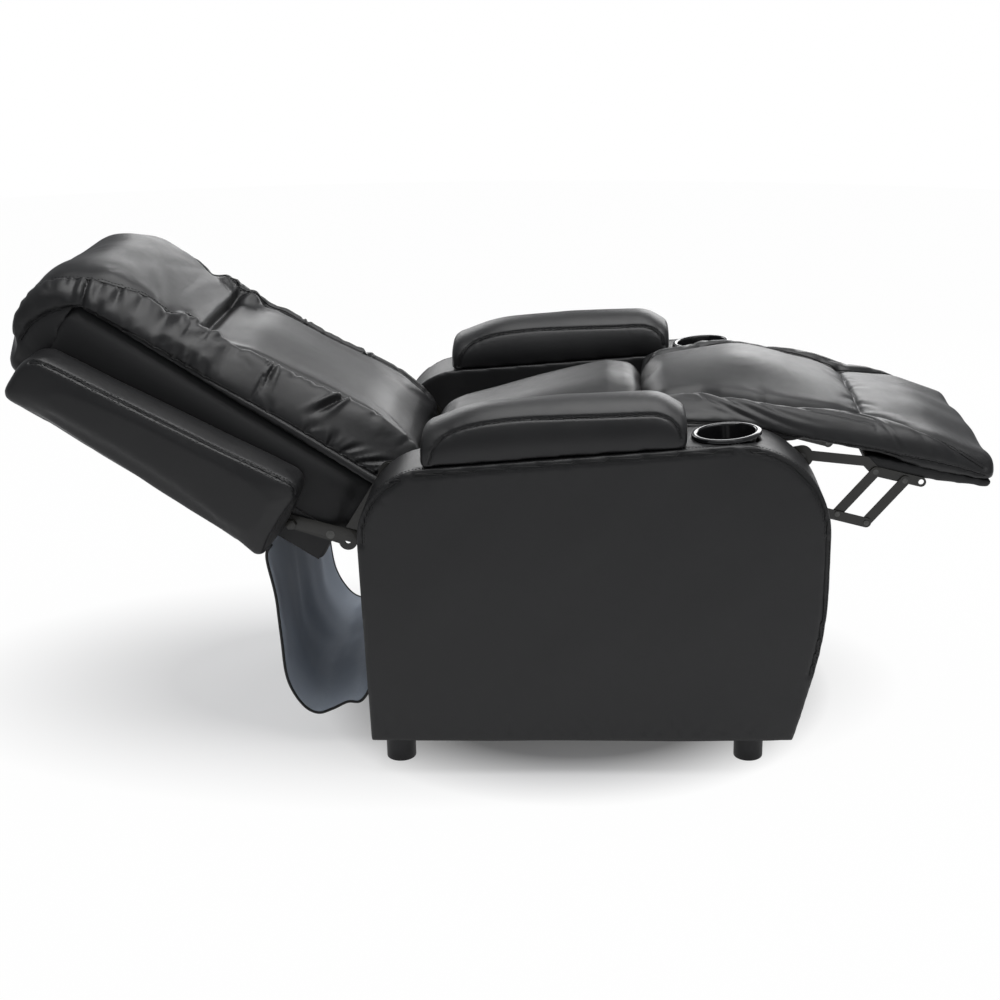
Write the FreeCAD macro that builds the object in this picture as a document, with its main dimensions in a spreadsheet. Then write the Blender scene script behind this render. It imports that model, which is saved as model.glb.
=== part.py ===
import FreeCAD, Part
import math
import os
from FreeCAD import Placement, Rotation, Vector
import Sketcher

# A pushback recliner, shown fully reclined. Millimetres, Z up, the chair faces -Y.
# Side views are drawn in (y, z): y grows toward the back of the chair.

doc = FreeCAD.newDocument("PushbackRecliner")
sheet = doc.addObject("Spreadsheet::Sheet", "Sizes")

sizes = {
    # arms
    "side_room": 19.0,
    "arm_width": 135.0,
    "inner_panel_thick": 8.0,
    "outer_panel_thick": 12.0,
    "band_thick": 12.0,
    "arm_rear_foot": 325.0,
    "arm_rear_top": 339.5,
    "arm_rear_top_z": 502.8,
    "arm_rear_round": 118.0,
    "arm_front_top": -398.0,
    "arm_front_round": 147.0,
    "arm_front_waist_z": 235.0,
    "arm_front_sweep": 860.0,
    "arm_front_foot": -350.0,
    "arm_top_slope": 4.5,
    "arm_edge_round": 5.0,
    "arm_post_depth": 34.0,
    "arm_rail_depth": 20.0,
    "arm_sill_height": 40.0,
    # arm pillows
    "pillow_rear": 226.0,
    "pillow_front": -170.0,
    "pillow_inset": 2.5,
    "pillow_seam_rise": 46.0,
    "pillow_crown": 21.0,
    # cup holders
    "cup_y": -237.0,
    "cup_margin": 12.5,
    "cup_lip": 10.0,
    "cup_wall": 1.5,
    "cup_flange_thick": 6.0,
    "cup_depth": 72.0,
    "cup_clearance": 0.5,
    # feet
    "foot_height": 63.0,
    "foot_radius": 24.0,
    "foot_inset": 65.0,
    "foot_y": 285.0,
    # base cross rails
    "front_rail_y": -240.0,
    "front_rail_depth": 40.0,
    "front_rail_z": 70.0,
    "front_rail_height": 45.0,
    "rear_rail_y": 312.0,
    "rear_rail_depth": 24.0,
    "rear_rail_z": 66.0,
    "rear_rail_height": 62.0,
    # plate layers, counted inward from the arm
    "plate_thick": 3.0,
    "plate_gap": 0.5,
    "bar_half": 8.0,
    "pin_radius": 6.0,
    "rivet_radius": 4.5,
    "running_clearance": 0.05,
    "pin_head": 10.0,
    "pin_head_thick": 3.0,
    "base_plate_half": 19.0,
    "plate_bolt_radius": 3.0,
    "plate_bolt_head": 7.0,
    "rail_half": 18.5,
    "lug_half": 15.0,
    "lever_half": 12.0,
    "rod_eye": 12.5,
    "rod_eye_bore": 7.2,
    "lift_eye_bore": 5.4,
    "tube_radius": 9.5,
    # pivots in the side view
    "hinge_y": 296.0,
    "hinge_z": 464.0,
    "plate_knee_y": 215.0,
    "plate_knee_z": 345.0,
    "lift_base_y": -153.0,
    "lift_base_z": 403.0,
    "plate_bolt_rear_y": 262.0,
    "plate_bolt_rear_z": 415.0,
    "plate_bolt_mid_y": 80.0,
    "plate_bolt_mid_z": 366.3,
    "plate_bolt_front_y": -70.0,
    "plate_bolt_front_z": 389.9,
    "rail_knee_y": 254.0,
    "rail_knee_z": 376.0,
    "rail_lug_y": -295.0,
    "rail_lug_z": 477.0,
    "footrest_pivot_y": -365.0,
    "footrest_pivot_z": 490.0,
    "crank_pivot_y": -305.0,
    "crank_pivot_z": 420.0,
    "crank_mid_y": -426.0,
    "crank_mid_z": 392.0,
    "crank_end_y": -474.0,
    "crank_end_z": 377.0,
    "rod_lever_y": -307.0,
    "rod_lever_z": 388.0,
    "lift_lever_y": -334.5,
    "lift_lever_z": 440.5,
    "bracket_front_y": -534.0,
    "bracket_front_z": 447.0,
    "bracket_rear_y": -486.0,
    "bracket_rear_z": 462.0,
    "bracket_spare_y": -561.0,
    "bracket_spare_z": 444.0,
    "swing_knee_y": -470.0,
    "swing_knee_z": 479.0,
    "back_drive_y": 340.0,
    "back_drive_z": 394.0,
    "back_knee_y": 368.0,
    "back_knee_z": 349.0,
    "back_rivet_y": 396.0,
    "back_rivet_z": 361.0,
    "back_bolt_y": 459.0,
    "back_bolt_z": 379.0,
    # seat, in its own frame: forward and height from the hinge
    "seat_slope": 10.5,
    "seat_deck": -75.5,
    "web_thick": 2.5,
    "web_width": 52.0,
    "web_count": 4,
    "seat_board_deep": 40.0,
    "seat_board_thick": 20.0,
    "seat_board_rear": 52.0,
    "seat_board_front": 560.0,
    "front_shelf_front": 634.0,
    "front_shelf_thick": 10.0,
    "seat_clearance": 1.0,
    "seat_rear": 55.0,
    "seat_front": 417.0,
    "seat_edge_top": -8.0,
    "seat_crown": 53.0,
    "chaise_rear": 424.0,
    "chaise_crest": 597.0,
    "chaise_split": 655.5,
    "chaise_crown": 66.0,
    # footrest
    "board_rear": -466.0,
    "board_rear_z": 490.0,
    "board_front": -676.0,
    "board_front_z": 446.0,
    "board_rear_deep": 30.0,
    "board_front_deep": 14.0,
    "pad_front": -680.0,
    "pad_tuft": -483.0,
    # back, in its own frame: along the back and out from it
    "back_lean": 33.0,
    "back_half": 236.0,
    "post_width": 35.0,
    "post_rear": -185.0,
    "post_depth": 50.0,
    "post_foot": 22.0,
    "post_head": 566.0,
    "cross_rail_height": 42.0,
    "panel_thick": 5.0,
    "core_foot": 45.0,
    "core_front": -40.0,
    "core_head": 578.0,
    "lumbar_roll": 46.0,
    "lumbar_head": 376.0,
    "lumbar_seam": 43.0,
    "lumbar_crown": 8.0,
    "shoulder_edge": -28.0,
    "pillow_gap": 8.0,
    "head_over": 58.0,
    "head_seam": 40.0,
    "head_crown": 8.0,
    "wing_width": 91.5,
    "wing_foot": 106.0,
    "wing_head": 563.0,
    # rear flap
    "flap_over": 39.0,
    "flap_thick": 3.0,
    "flap_belly": 146.0,
    "flap_low": 44.0,
}

# widths that follow from the half width of the back, outward to the arms and wings
plate_step = sizes["plate_thick"] + sizes["plate_gap"]
sizes["arm_inner"] = sizes["back_half"] + sizes["side_room"]
sizes["arm_outer"] = sizes["arm_inner"] + sizes["arm_width"]
sizes["cup_x"] = sizes["arm_inner"] + sizes["arm_width"] / 2.0
sizes["cup_flange"] = sizes["arm_width"] / 2.0 - sizes["cup_margin"]
sizes["cup_bore"] = sizes["cup_flange"] - sizes["cup_lip"]
sizes["foot_x"] = sizes["arm_inner"] + sizes["foot_inset"]
sizes["post_half"] = sizes["arm_inner"] - plate_step - sizes["plate_thick"]
sizes["seat_half"] = sizes["arm_inner"] - 2 * plate_step - sizes["plate_thick"] - sizes["seat_clearance"]
sizes["wing_outer"] = sizes["post_half"] + sizes["wing_width"]
sizes["flap_half"] = sizes["back_half"] + sizes["flap_over"]

# the head pillow starts above the lumbar pillow and folds over the top of the core
sizes["head_foot"] = sizes["lumbar_head"] + sizes["pillow_gap"]
sizes["head_reach"] = sizes["core_head"] + sizes["head_over"]

row = 1
for alias in sizes:
    sheet.set("A%d" % row, alias)
    sheet.set("B%d" % row, str(sizes[alias]))
    sheet.setAlias("B%d" % row, alias)
    row += 1
doc.recompute()

nodes = []


def size(alias):
    return float(sheet.get(alias))


def spot(name):
    return (size(name + "_y"), size(name + "_z"))


def node(part, label):
    part.Label = label
    nodes.append(part)
    return part


# layers of flat steel between the arm and the seat, from the arm inward
base_layer = size("arm_inner")
bracket_layer = base_layer - plate_step
rod_layer = bracket_layer - plate_step
rail_layer = rod_layer - plate_step
crank_layer = rail_layer - plate_step
link_layer = crank_layer - plate_step
swing_layer = link_layer - plate_step


def layer_expression(depth):
    return "-Sizes.arm_inner + %d * (Sizes.plate_thick + Sizes.plate_gap)" % depth


def rounded(points):
    """Edges of a closed outline whose corners (y, z, radius) are rounded."""
    count = len(points)
    corners = []
    for i in range(count):
        here = Vector(points[i][0], points[i][1], 0)
        back = Vector(points[i - 1][0], points[i - 1][1], 0)
        on = Vector(points[(i + 1) % count][0], points[(i + 1) % count][1], 0)
        radius = points[i][2]
        if radius <= 0:
            corners.append((here, None, here))
            continue
        room = 0.49 * min((back - here).Length, (on - here).Length)
        to_back = (back - here).normalize()
        to_on = (on - here).normalize()
        half = to_back.getAngle(to_on) / 2.0
        run = min(radius / math.tan(half), room)
        radius = run * math.tan(half)
        middle = (to_back + to_on).normalize()
        centre = here + middle * (radius / math.sin(half))
        corners.append((here + to_back * run, centre - middle * radius, here + to_on * run))
    edges = []
    for i in range(count):
        start, middle, end = corners[i]
        if middle is not None:
            edges.append(Part.Arc(start, middle, end))
        following = corners[(i + 1) % count][0]
        if end.distanceToPoint(following) > 1e-6:
            edges.append(Part.LineSegment(end, following))
    return edges


def inset(points, distance):
    """The same outline moved inward; corners turn anticlockwise or clockwise alike."""
    count = len(points)
    area = 0.0
    for i in range(count):
        y0, z0 = points[i - 1][0], points[i - 1][1]
        y1, z1 = points[i][0], points[i][1]
        area += y0 * z1 - y1 * z0
    side = 1.0 if area > 0 else -1.0
    lines = []
    for i in range(count):
        start = Vector(points[i][0], points[i][1], 0)
        following = points[(i + 1) % count]
        along = (Vector(following[0], following[1], 0) - start).normalize()
        inward = Vector(-along.y, along.x, 0) * side
        lines.append((start + inward * distance, along))
    moved = []
    for i in range(count):
        p, a = lines[i - 1]
        q, b = lines[i]
        cross = a.x * b.y - a.y * b.x
        run = ((q.x - p.x) * b.y - (q.y - p.y) * b.x) / cross
        corner = p + a * run
        moved.append((corner.x, corner.y, max(points[i][2] - distance, 0.0)))
    return moved


def side_sketch(body, name, offset):
    sketch = body.newObject("Sketcher::SketchObject", name)
    plane = [f for f in body.Origin.OriginFeatures if f.Role == "YZ_Plane"][0]
    sketch.AttachmentSupport = [(plane, "")]
    sketch.MapMode = "FlatFace"
    sketch.setExpression("AttachmentOffset.Base.z", offset)
    return sketch


def profile_body(name, outlines, offset, length):
    """A body padded along X from one closed outline, with others as openings."""
    body = doc.addObject("PartDesign::Body", name)
    sketch = side_sketch(body, name + "_sketch", offset)
    for outline in outlines:
        sketch.addGeometry(rounded(outline), False)
    pad = body.newObject("PartDesign::Pad", name + "_pad")
    pad.Profile = sketch
    pad.setExpression("Length", length)
    sketch.Visibility = False
    doc.recompute()
    return body


def eye(sketch, pivot, half):
    """A round boss outline at a named pivot, tied to the sheet."""
    y, z = spot(pivot)
    circle = sketch.addGeometry(Part.Circle(Vector(y, z, 0), Vector(0, 0, 1), size(half)), False)
    pin_down(sketch, circle, pivot)
    index = sketch.addConstraint(Sketcher.Constraint("Radius", circle, size(half)))
    sketch.setExpression("Constraints[%d]" % index, "Sizes." + half)


def slot(sketch, start, end, half):
    """A bar outline between two named pivots, tied to the sheet."""
    a = Vector(size(start + "_y"), size(start + "_z"), 0)
    b = Vector(size(end + "_y"), size(end + "_z"), 0)
    radius = size(half)
    along = (b - a).normalize()
    across = Vector(-along.y, along.x, 0)
    first = sketch.addGeometry(Part.Arc(a + across * radius, a - along * radius, a - across * radius), False)
    second = sketch.addGeometry(Part.Arc(b - across * radius, b + along * radius, b + across * radius), False)
    low = sketch.addGeometry(Part.LineSegment(a - across * radius, b - across * radius), False)
    high = sketch.addGeometry(Part.LineSegment(b + across * radius, a + across * radius), False)
    sketch.addConstraint(Sketcher.Constraint("Tangent", first, 2, low, 1))
    sketch.addConstraint(Sketcher.Constraint("Tangent", low, 2, second, 1))
    sketch.addConstraint(Sketcher.Constraint("Tangent", second, 2, high, 1))
    sketch.addConstraint(Sketcher.Constraint("Tangent", high, 2, first, 1))
    pin_down(sketch, first, start)
    pin_down(sketch, second, end)
    index = sketch.addConstraint(Sketcher.Constraint("Radius", first, radius))
    sketch.setExpression("Constraints[%d]" % index, "Sizes." + half)


def pin_down(sketch, shape, name):
    y, z = spot(name)
    index = sketch.addConstraint(Sketcher.Constraint("DistanceX", -1, 1, shape, 3, y))
    sketch.setExpression("Constraints[%d]" % index, "Sizes.%s_y" % name)
    index = sketch.addConstraint(Sketcher.Constraint("DistanceY", -1, 1, shape, 3, z))
    sketch.setExpression("Constraints[%d]" % index, "Sizes.%s_z" % name)


def plate(name, depth, bars, holes):
    """Flat steel: bars between pivots and round eyes, each padded, then drilled."""
    body = doc.addObject("PartDesign::Body", name)
    count = 0
    for start, end, half in bars:
        count += 1
        sketch = side_sketch(body, "%s_bar_%d" % (name, count), layer_expression(depth))
        if start == end:
            eye(sketch, start, half)
        else:
            slot(sketch, start, end, half)
        pad = body.newObject("PartDesign::Pad", "%s_pad_%d" % (name, count))
        pad.Profile = sketch
        pad.setExpression("Length", "Sizes.plate_thick")
        sketch.Visibility = False
        doc.recompute()
    drilled = side_sketch(body, name + "_holes", layer_expression(depth))
    for pivot, radius in holes:
        y, z = spot(pivot)
        circle = drilled.addGeometry(Part.Circle(Vector(y, z, 0), Vector(0, 0, 1), size(radius)), False)
        pin_down(drilled, circle, pivot)
        bore = size(radius) + size("running_clearance")
        index = drilled.addConstraint(Sketcher.Constraint("Radius", circle, bore))
        drilled.setExpression("Constraints[%d]" % index, "Sizes.%s + Sizes.running_clearance" % radius)
    pocket = body.newObject("PartDesign::Pocket", name + "_drill")
    pocket.Profile = drilled
    pocket.Reversed = True
    pocket.setExpression("Length", "2 * Sizes.plate_thick")
    drilled.Visibility = False
    doc.recompute()
    return body


def mirrored(name, source):
    twin = doc.addObject("Part::Mirroring", name)
    twin.Source = source
    twin.Base = Vector(0, 0, 0)
    twin.Normal = Vector(1, 0, 0)
    return twin


def pair(right, name):
    """Names the right-hand piece and its left-hand twin as two nodes."""
    node(right, "right_" + name)
    node(mirrored("left_" + name, right), "left_" + name)


def group(label, members):
    gathered = doc.addObject("Part::Compound", label)
    gathered.Links = members
    return node(gathered, label)


def both_sides(label, pieces):
    members = []
    for piece in pieces:
        members.append(piece)
        members.append(mirrored(piece.Name + "_twin", piece))
    return group(label, members)


def rod(name, pivot, radius, start, end):
    """A round pin along X at a named pivot, from start to end (right side, negative X)."""
    pin = doc.addObject("Part::Cylinder", name)
    pin.setExpression("Radius", radius)
    pin.Height = end - start
    y, z = spot(pivot)
    pin.Placement = Placement(Vector(start, y, z), Rotation(Vector(0, 1, 0), 90))
    return pin


def headed_pin(name, pivot, radius, start, end):
    """A pin whose head is at its inner end."""
    shank = rod(name + "_shank", pivot, "Sizes." + radius, start, end)
    head = rod(name + "_head", pivot, "Sizes.pin_head", end, end + size("pin_head_thick"))
    whole = doc.addObject("Part::Fuse", name)
    whole.Base = shank
    whole.Tool = head
    return whole


def block(name, length, width, height, place):
    """A board: sizes are sheet expressions, place is where its corner goes."""
    board = doc.addObject("Part::Box", name)
    board.setExpression("Length", length)
    board.setExpression("Width", width)
    board.setExpression("Height", height)
    board.Placement = place
    return board


def at(x, y, z):
    return Placement(Vector(x, y, z), Rotation())


def soft(label, stations, place):
    """A padded piece: a smooth loft through side outlines set at stations along X."""
    wires = []
    for x, outline in stations:
        edges = [curve.toShape() for curve in rounded(outline)]
        wire = Part.Wire(edges)
        wire.Placement = Placement(Vector(x, 0, 0), Rotation(Vector(1, 1, 1), 120))
        wires.append(wire)
    padded = doc.addObject("Part::Feature", label)
    padded.Shape = Part.makeLoft(wires, True, False)
    padded.Placement = place
    return padded


# the arm outline, shared by its panels, band, sill and rails
def arm_top(y):
    run = size("arm_rear_top") - y
    return size("arm_rear_top_z") + run * math.tan(math.radians(size("arm_top_slope")))


arm_outline = [
    (size("arm_rear_foot"), size("foot_height"), 0),
    (size("arm_rear_top"), size("arm_rear_top_z"), size("arm_rear_round")),
    (size("arm_front_top"), arm_top(size("arm_front_top")), size("arm_front_round")),
    (size("arm_front_top"), size("arm_front_waist_z"), size("arm_front_sweep")),
    (size("arm_front_foot"), size("foot_height"), 0),
]
arm_hollow = inset(arm_outline, size("band_thick"))
hollow_rear = arm_hollow[0][0]
hollow_front = arm_hollow[4][0]
sill_z = size("foot_height")
open_hollow = [(arm_hollow[0][0], sill_z, 0)] + arm_hollow[1:4] + [(arm_hollow[4][0], sill_z, 0)]

# outer panel
outer_panel = profile_body("OuterPanel", [arm_outline], "-Sizes.arm_outer", "Sizes.outer_panel_thick")
round_over = outer_panel.newObject("PartDesign::Fillet", "OuterPanelRound")
rim = []
for index, edge in enumerate(outer_panel.Tip.Shape.Edges):
    box = edge.BoundBox
    on_face = abs(box.XMin + size("arm_outer")) < 0.01 and abs(box.XMax + size("arm_outer")) < 0.01
    if on_face and box.ZMax > sill_z + 0.01:
        rim.append("Edge%d" % (index + 1))
round_over.Base = (outer_panel.Tip, rim)
round_over.setExpression("Radius", "Sizes.arm_edge_round")
outer_panel.Tip = round_over
doc.recompute()
pair(outer_panel, "arm_outer_panel")

# inner panel, drilled for the base plate bolts
plate_bolts = ["plate_bolt_rear", "plate_bolt_mid", "plate_bolt_front"]
inner_panel = profile_body(
    "InnerPanel",
    [arm_outline],
    "-Sizes.arm_inner - Sizes.inner_panel_thick",
    "Sizes.inner_panel_thick",
)
panel_holes = side_sketch(inner_panel, "InnerPanelHoles", "-Sizes.arm_inner - Sizes.inner_panel_thick")
for bolt in plate_bolts:
    y, z = spot(bolt)
    bore = size("plate_bolt_radius") + size("running_clearance")
    circle = panel_holes.addGeometry(Part.Circle(Vector(y, z, 0), Vector(0, 0, 1), bore), False)
    pin_down(panel_holes, circle, bolt)
    index = panel_holes.addConstraint(Sketcher.Constraint("Radius", circle, bore))
    panel_holes.setExpression("Constraints[%d]" % index, "Sizes.plate_bolt_radius + Sizes.running_clearance")
panel_drill = inner_panel.newObject("PartDesign::Pocket", "InnerPanelDrill")
panel_drill.Profile = panel_holes
panel_drill.Reversed = True
panel_drill.setExpression("Length", "2 * Sizes.inner_panel_thick")
panel_holes.Visibility = False
doc.recompute()
pair(inner_panel, "arm_inner_panel")

# band over the front, top and rear of the arm, with the cup opening
tilt = Rotation(Vector(1, 0, 0), -size("arm_top_slope"))
cup_seat = Vector(-size("cup_x"), size("cup_y"), arm_top(size("cup_y")))
band_outline = arm_outline + open_hollow[::-1]
band_strip = profile_body(
    "BandStrip",
    [band_outline],
    "-Sizes.arm_outer + Sizes.outer_panel_thick",
    "Sizes.arm_outer - Sizes.arm_inner - Sizes.outer_panel_thick - Sizes.inner_panel_thick",
)


def cup_opening(name):
    drill = doc.addObject("Part::Cylinder", name)
    drill.setExpression("Radius", "Sizes.cup_bore + Sizes.cup_wall + Sizes.cup_clearance")
    drill.setExpression("Height", "2 * Sizes.cup_depth")
    drill.Placement = Placement(cup_seat, tilt).multiply(at(0, 0, -size("cup_depth")))
    return drill


arm_band = doc.addObject("Part::Cut", "ArmBand")
arm_band.Base = band_strip
arm_band.Tool = cup_opening("BandOpening")
pair(arm_band, "arm_band")

# wooden arm frame: sill, two posts and the sloping top rail
frame_x = -size("arm_outer") + size("outer_panel_thick")
frame_width = "Sizes.arm_outer - Sizes.arm_inner - Sizes.outer_panel_thick - Sizes.inner_panel_thick"
sill = doc.addObject("Part::Box", "ArmSill")
sill.setExpression("Length", frame_width)
sill.Width = hollow_rear - hollow_front
sill.setExpression("Height", "Sizes.arm_sill_height")
sill.Placement = at(frame_x, hollow_front, sill_z)
post_top = arm_top(size("arm_rear_top")) - size("band_thick")
rear_post_y = hollow_rear - size("arm_post_depth")
front_post_y = hollow_front
rear_post = doc.addObject("Part::Box", "ArmRearPost")
rear_post.setExpression("Length", frame_width)
rear_post.setExpression("Width", "Sizes.arm_post_depth")
rear_post.Height = post_top - sill_z - size("arm_rear_round") * 0.45
rear_post.Placement = at(frame_x, rear_post_y, sill_z)
front_post = doc.addObject("Part::Box", "ArmFrontPost")
front_post.setExpression("Length", frame_width)
front_post.setExpression("Width", "Sizes.arm_post_depth")
front_post.Height = arm_top(front_post_y) - sill_z - size("band_thick") - size("arm_rail_depth")
front_post.Placement = at(frame_x, front_post_y, sill_z)
top_rail_rear = rear_post_y + size("arm_post_depth") * 0.35
top_rail_front = front_post_y + size("arm_post_depth") * 0.3
top_rail = doc.addObject("Part::Box", "ArmTopRail")
slope = math.radians(size("arm_top_slope"))
top_rail.setExpression("Length", frame_width)
top_rail.Width = (top_rail_rear - top_rail_front) / math.cos(slope)
top_rail.setExpression("Height", "Sizes.arm_rail_depth")
rail_drop = size("band_thick") + size("arm_rail_depth")
rail_corner = Vector(frame_x, top_rail_front, arm_top(top_rail_front))
top_rail.Placement = Placement(rail_corner, tilt).multiply(at(0, 0, -rail_drop))
frame_wood = doc.addObject("Part::MultiFuse", "ArmFrameWood")
frame_wood.Shapes = [sill, rear_post, front_post, top_rail]
hollow_block = profile_body("ArmHollow", [open_hollow], "-Sizes.arm_outer", "Sizes.arm_outer")
fitted_wood = doc.addObject("Part::Common", "ArmFrameFitted")
fitted_wood.Base = frame_wood
fitted_wood.Tool = hollow_block
arm_frame = doc.addObject("Part::Cut", "ArmFrame")
arm_frame.Base = fitted_wood
arm_frame.Tool = cup_opening("FrameOpening")
pair(arm_frame, "arm_frame")


# arm pillow: a long crowned cushion lying on the sloping arm top
def pillow_outline(crown, draw):
    rear = size("pillow_rear") - draw
    front = size("pillow_front") + draw
    rise = size("pillow_seam_rise") + crown * size("pillow_crown")
    middle = rear * 0.45 + front * 0.55
    fore = rear * 0.1 + front * 0.9
    return [
        (rear, arm_top(rear), 4),
        (rear, arm_top(rear) + rise * 0.92, 24),
        (middle, arm_top(middle) + rise * 1.24, 260),
        (fore, arm_top(fore) + rise * 1.16, 60),
        (front, arm_top(front) + rise * 0.74, 16),
        (front, arm_top(front), 4),
    ]


pillow_near = -size("arm_outer") + size("pillow_inset")
pillow_far = -size("arm_inner") - size("pillow_inset")
pillow_mid = (pillow_near + pillow_far) / 2.0
pillow_stations = [
    (pillow_near, pillow_outline(-0.75, 9)),
    (pillow_near + 7, pillow_outline(-0.1, 2)),
    (pillow_near + 26, pillow_outline(0.62, 0)),
    (pillow_mid, pillow_outline(1.0, 0)),
    (pillow_far - 26, pillow_outline(0.62, 0)),
    (pillow_far - 7, pillow_outline(-0.1, 2)),
    (pillow_far, pillow_outline(-0.75, 9)),
]
pair(soft("ArmPillow", pillow_stations, Placement()), "arm_pillow")

# cup holder: flange, tube and floor, turned about its own axis
cup = doc.addObject("PartDesign::Body", "CupHolder")
cup_sketch = cup.newObject("Sketcher::SketchObject", "CupSketch")
cup_plane = [f for f in cup.Origin.OriginFeatures if f.Role == "XZ_Plane"][0]
cup_sketch.AttachmentSupport = [(cup_plane, "")]
cup_sketch.MapMode = "FlatFace"
tube_radius = size("cup_bore") + size("cup_wall")
lip = size("cup_flange_thick")
floor_z = -size("cup_depth")
cup_profile = [
    (0, floor_z, 0),
    (tube_radius, floor_z, 3),
    (tube_radius, 0, 0),
    (size("cup_flange"), 0, 1.2),
    (size("cup_flange"), lip, 3.5),
    (size("cup_bore"), lip, 2.0),
    (size("cup_bore"), floor_z + 2.0, 1.0),
    (0, floor_z + 2.0, 0),
]
cup_sketch.addGeometry(rounded(cup_profile), False)
turn = cup.newObject("PartDesign::Revolution", "CupTurn")
turn.Profile = cup_sketch
turn.ReferenceAxis = (cup_sketch, ["V_Axis"])
turn.Angle = 360
cup_sketch.Visibility = False
cup.Placement = Placement(cup_seat, tilt)
doc.recompute()
pair(cup, "cup_holder")

# feet
legs = []
for side in (-1, 1):
    for end in (-1, 1):
        leg = doc.addObject("Part::Cylinder", "Foot")
        leg.setExpression("Radius", "Sizes.foot_radius")
        leg.setExpression("Height", "Sizes.foot_height")
        leg.setExpression("Placement.Base.x", "%d * Sizes.foot_x" % side)
        leg.setExpression("Placement.Base.y", "%d * Sizes.foot_y" % end)
        legs.append(leg)
group("feet", legs)

# cross rails between the arms
node(
    block(
        "BaseFrontRail",
        "2 * Sizes.arm_inner",
        "Sizes.front_rail_depth",
        "Sizes.front_rail_height",
        at(-size("arm_inner"), size("front_rail_y"), size("front_rail_z")),
    ),
    "base_front_rail",
)
node(
    block(
        "BaseRearRail",
        "2 * Sizes.arm_inner",
        "Sizes.rear_rail_depth",
        "Sizes.rear_rail_height",
        at(-size("arm_inner"), size("rear_rail_y"), size("rear_rail_z")),
    ),
    "base_rear_rail",
)

# base plates bolted to the arms
base_plate = plate(
    "BasePlate",
    0,
    [
        ("hinge", "plate_knee", "base_plate_half"),
        ("plate_knee", "lift_base", "base_plate_half"),
    ],
    [
        ("hinge", "pin_radius"),
        ("lift_base", "rivet_radius"),
        ("plate_bolt_rear", "plate_bolt_radius"),
        ("plate_bolt_mid", "plate_bolt_radius"),
        ("plate_bolt_front", "plate_bolt_radius"),
    ],
)
pair(base_plate, "base_plate")

bolt_pieces = []
panel_face = -base_layer - size("inner_panel_thick")
for bolt in plate_bolts:
    face = -base_layer + size("plate_thick")
    shank = rod(bolt + "_shank", bolt, "Sizes.plate_bolt_radius", panel_face, face)
    head = rod(bolt + "_head", bolt, "Sizes.plate_bolt_head", face, face + size("pin_head_thick"))
    whole = doc.addObject("Part::Fuse", bolt)
    whole.Base = shank
    whole.Tool = head
    bolt_pieces.append(whole)
both_sides("base_plate_bolts", bolt_pieces)

rail_face = -rail_layer + size("plate_thick") + size("plate_gap")
both_sides("rear_pivot_pins", [headed_pin("RearPivotPin", "hinge", "pin_radius", -base_layer, rail_face)])
lift_face = -bracket_layer + size("plate_thick") + size("plate_gap") / 2.0
both_sides("lift_pins", [rod("LiftPin", "lift_base", "Sizes.rivet_radius", -base_layer, lift_face)])

# rear flap: cloth hung in a loop from the back down to the rear rail
back_turn = Rotation(Vector(1, 0, 0), size("back_lean"))
hinge_point = Vector(0, size("hinge_y"), size("hinge_z"))
back_place = Placement(hinge_point, back_turn)
seat_turn = Rotation(Vector(1, 0, 0), -size("seat_slope"))
seat_place = Placement(hinge_point, seat_turn)


def on_back(along, out):
    return back_place.multVec(Vector(0, along, out))


flap_half_thick = size("flap_thick") / 2.0
panel_rear = size("post_rear") - size("panel_thick")
flap_top = on_back(size("wing_foot") - 4, panel_rear - flap_half_thick)
flap_hang = on_back(size("wing_foot") - 26, panel_rear - flap_half_thick)
rail_rear = size("rear_rail_y") + size("rear_rail_depth")
rail_top = size("rear_rail_z") + size("rear_rail_height")
flap_belly = size("flap_belly")
flap_low = size("flap_low")
flap_path = [
    (flap_top.y, flap_top.z, 0),
    (flap_hang.y + 24, flap_hang.z - 10, 16),
    (flap_hang.y + 26, flap_hang.z - 60, 60),
    (rail_rear + flap_belly, flap_low + 126, 200),
    (rail_rear + flap_belly * 0.795, flap_low + 30, 50),
    (rail_rear + flap_belly * 0.48, flap_low, 34),
    (rail_rear + flap_belly * 0.164, flap_low + 28, 30),
    (rail_rear + flap_half_thick, rail_top - 40, 6),
    (rail_rear + flap_half_thick, rail_top - 4, 0),
]


def thickened(path, half):
    """A closed thin outline either side of an open path of corners."""
    left = []
    right = []
    count = len(path)
    for i in range(count):
        here = Vector(path[i][0], path[i][1], 0)
        before = Vector(path[max(i - 1, 0)][0], path[max(i - 1, 0)][1], 0)
        after = Vector(path[min(i + 1, count - 1)][0], path[min(i + 1, count - 1)][1], 0)
        arrive = (here - before) if i > 0 else (after - here)
        leave = (after - here) if i < count - 1 else (here - before)
        arrive = arrive.normalize()
        leave = leave.normalize()
        normal_in = Vector(-arrive.y, arrive.x, 0)
        normal_out = Vector(-leave.y, leave.x, 0)
        middle = (normal_in + normal_out).normalize()
        reach = half / middle.dot(normal_in)
        bend = arrive.x * leave.y - arrive.y * leave.x
        grow = -half if bend > 0 else half
        radius = path[i][2]
        spread_left = radius + grow if radius > 0 else 0
        spread_right = radius - grow if radius > 0 else 0
        a = here + middle * reach
        b = here - middle * reach
        left.append((a.x, a.y, spread_left))
        right.append((b.x, b.y, spread_right))
    return left + right[::-1]


rear_flap = profile_body(
    "RearFlap",
    [thickened(flap_path, flap_half_thick)],
    "-Sizes.flap_half",
    "2 * Sizes.flap_half",
)
node(rear_flap, "rear_flap")

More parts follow.
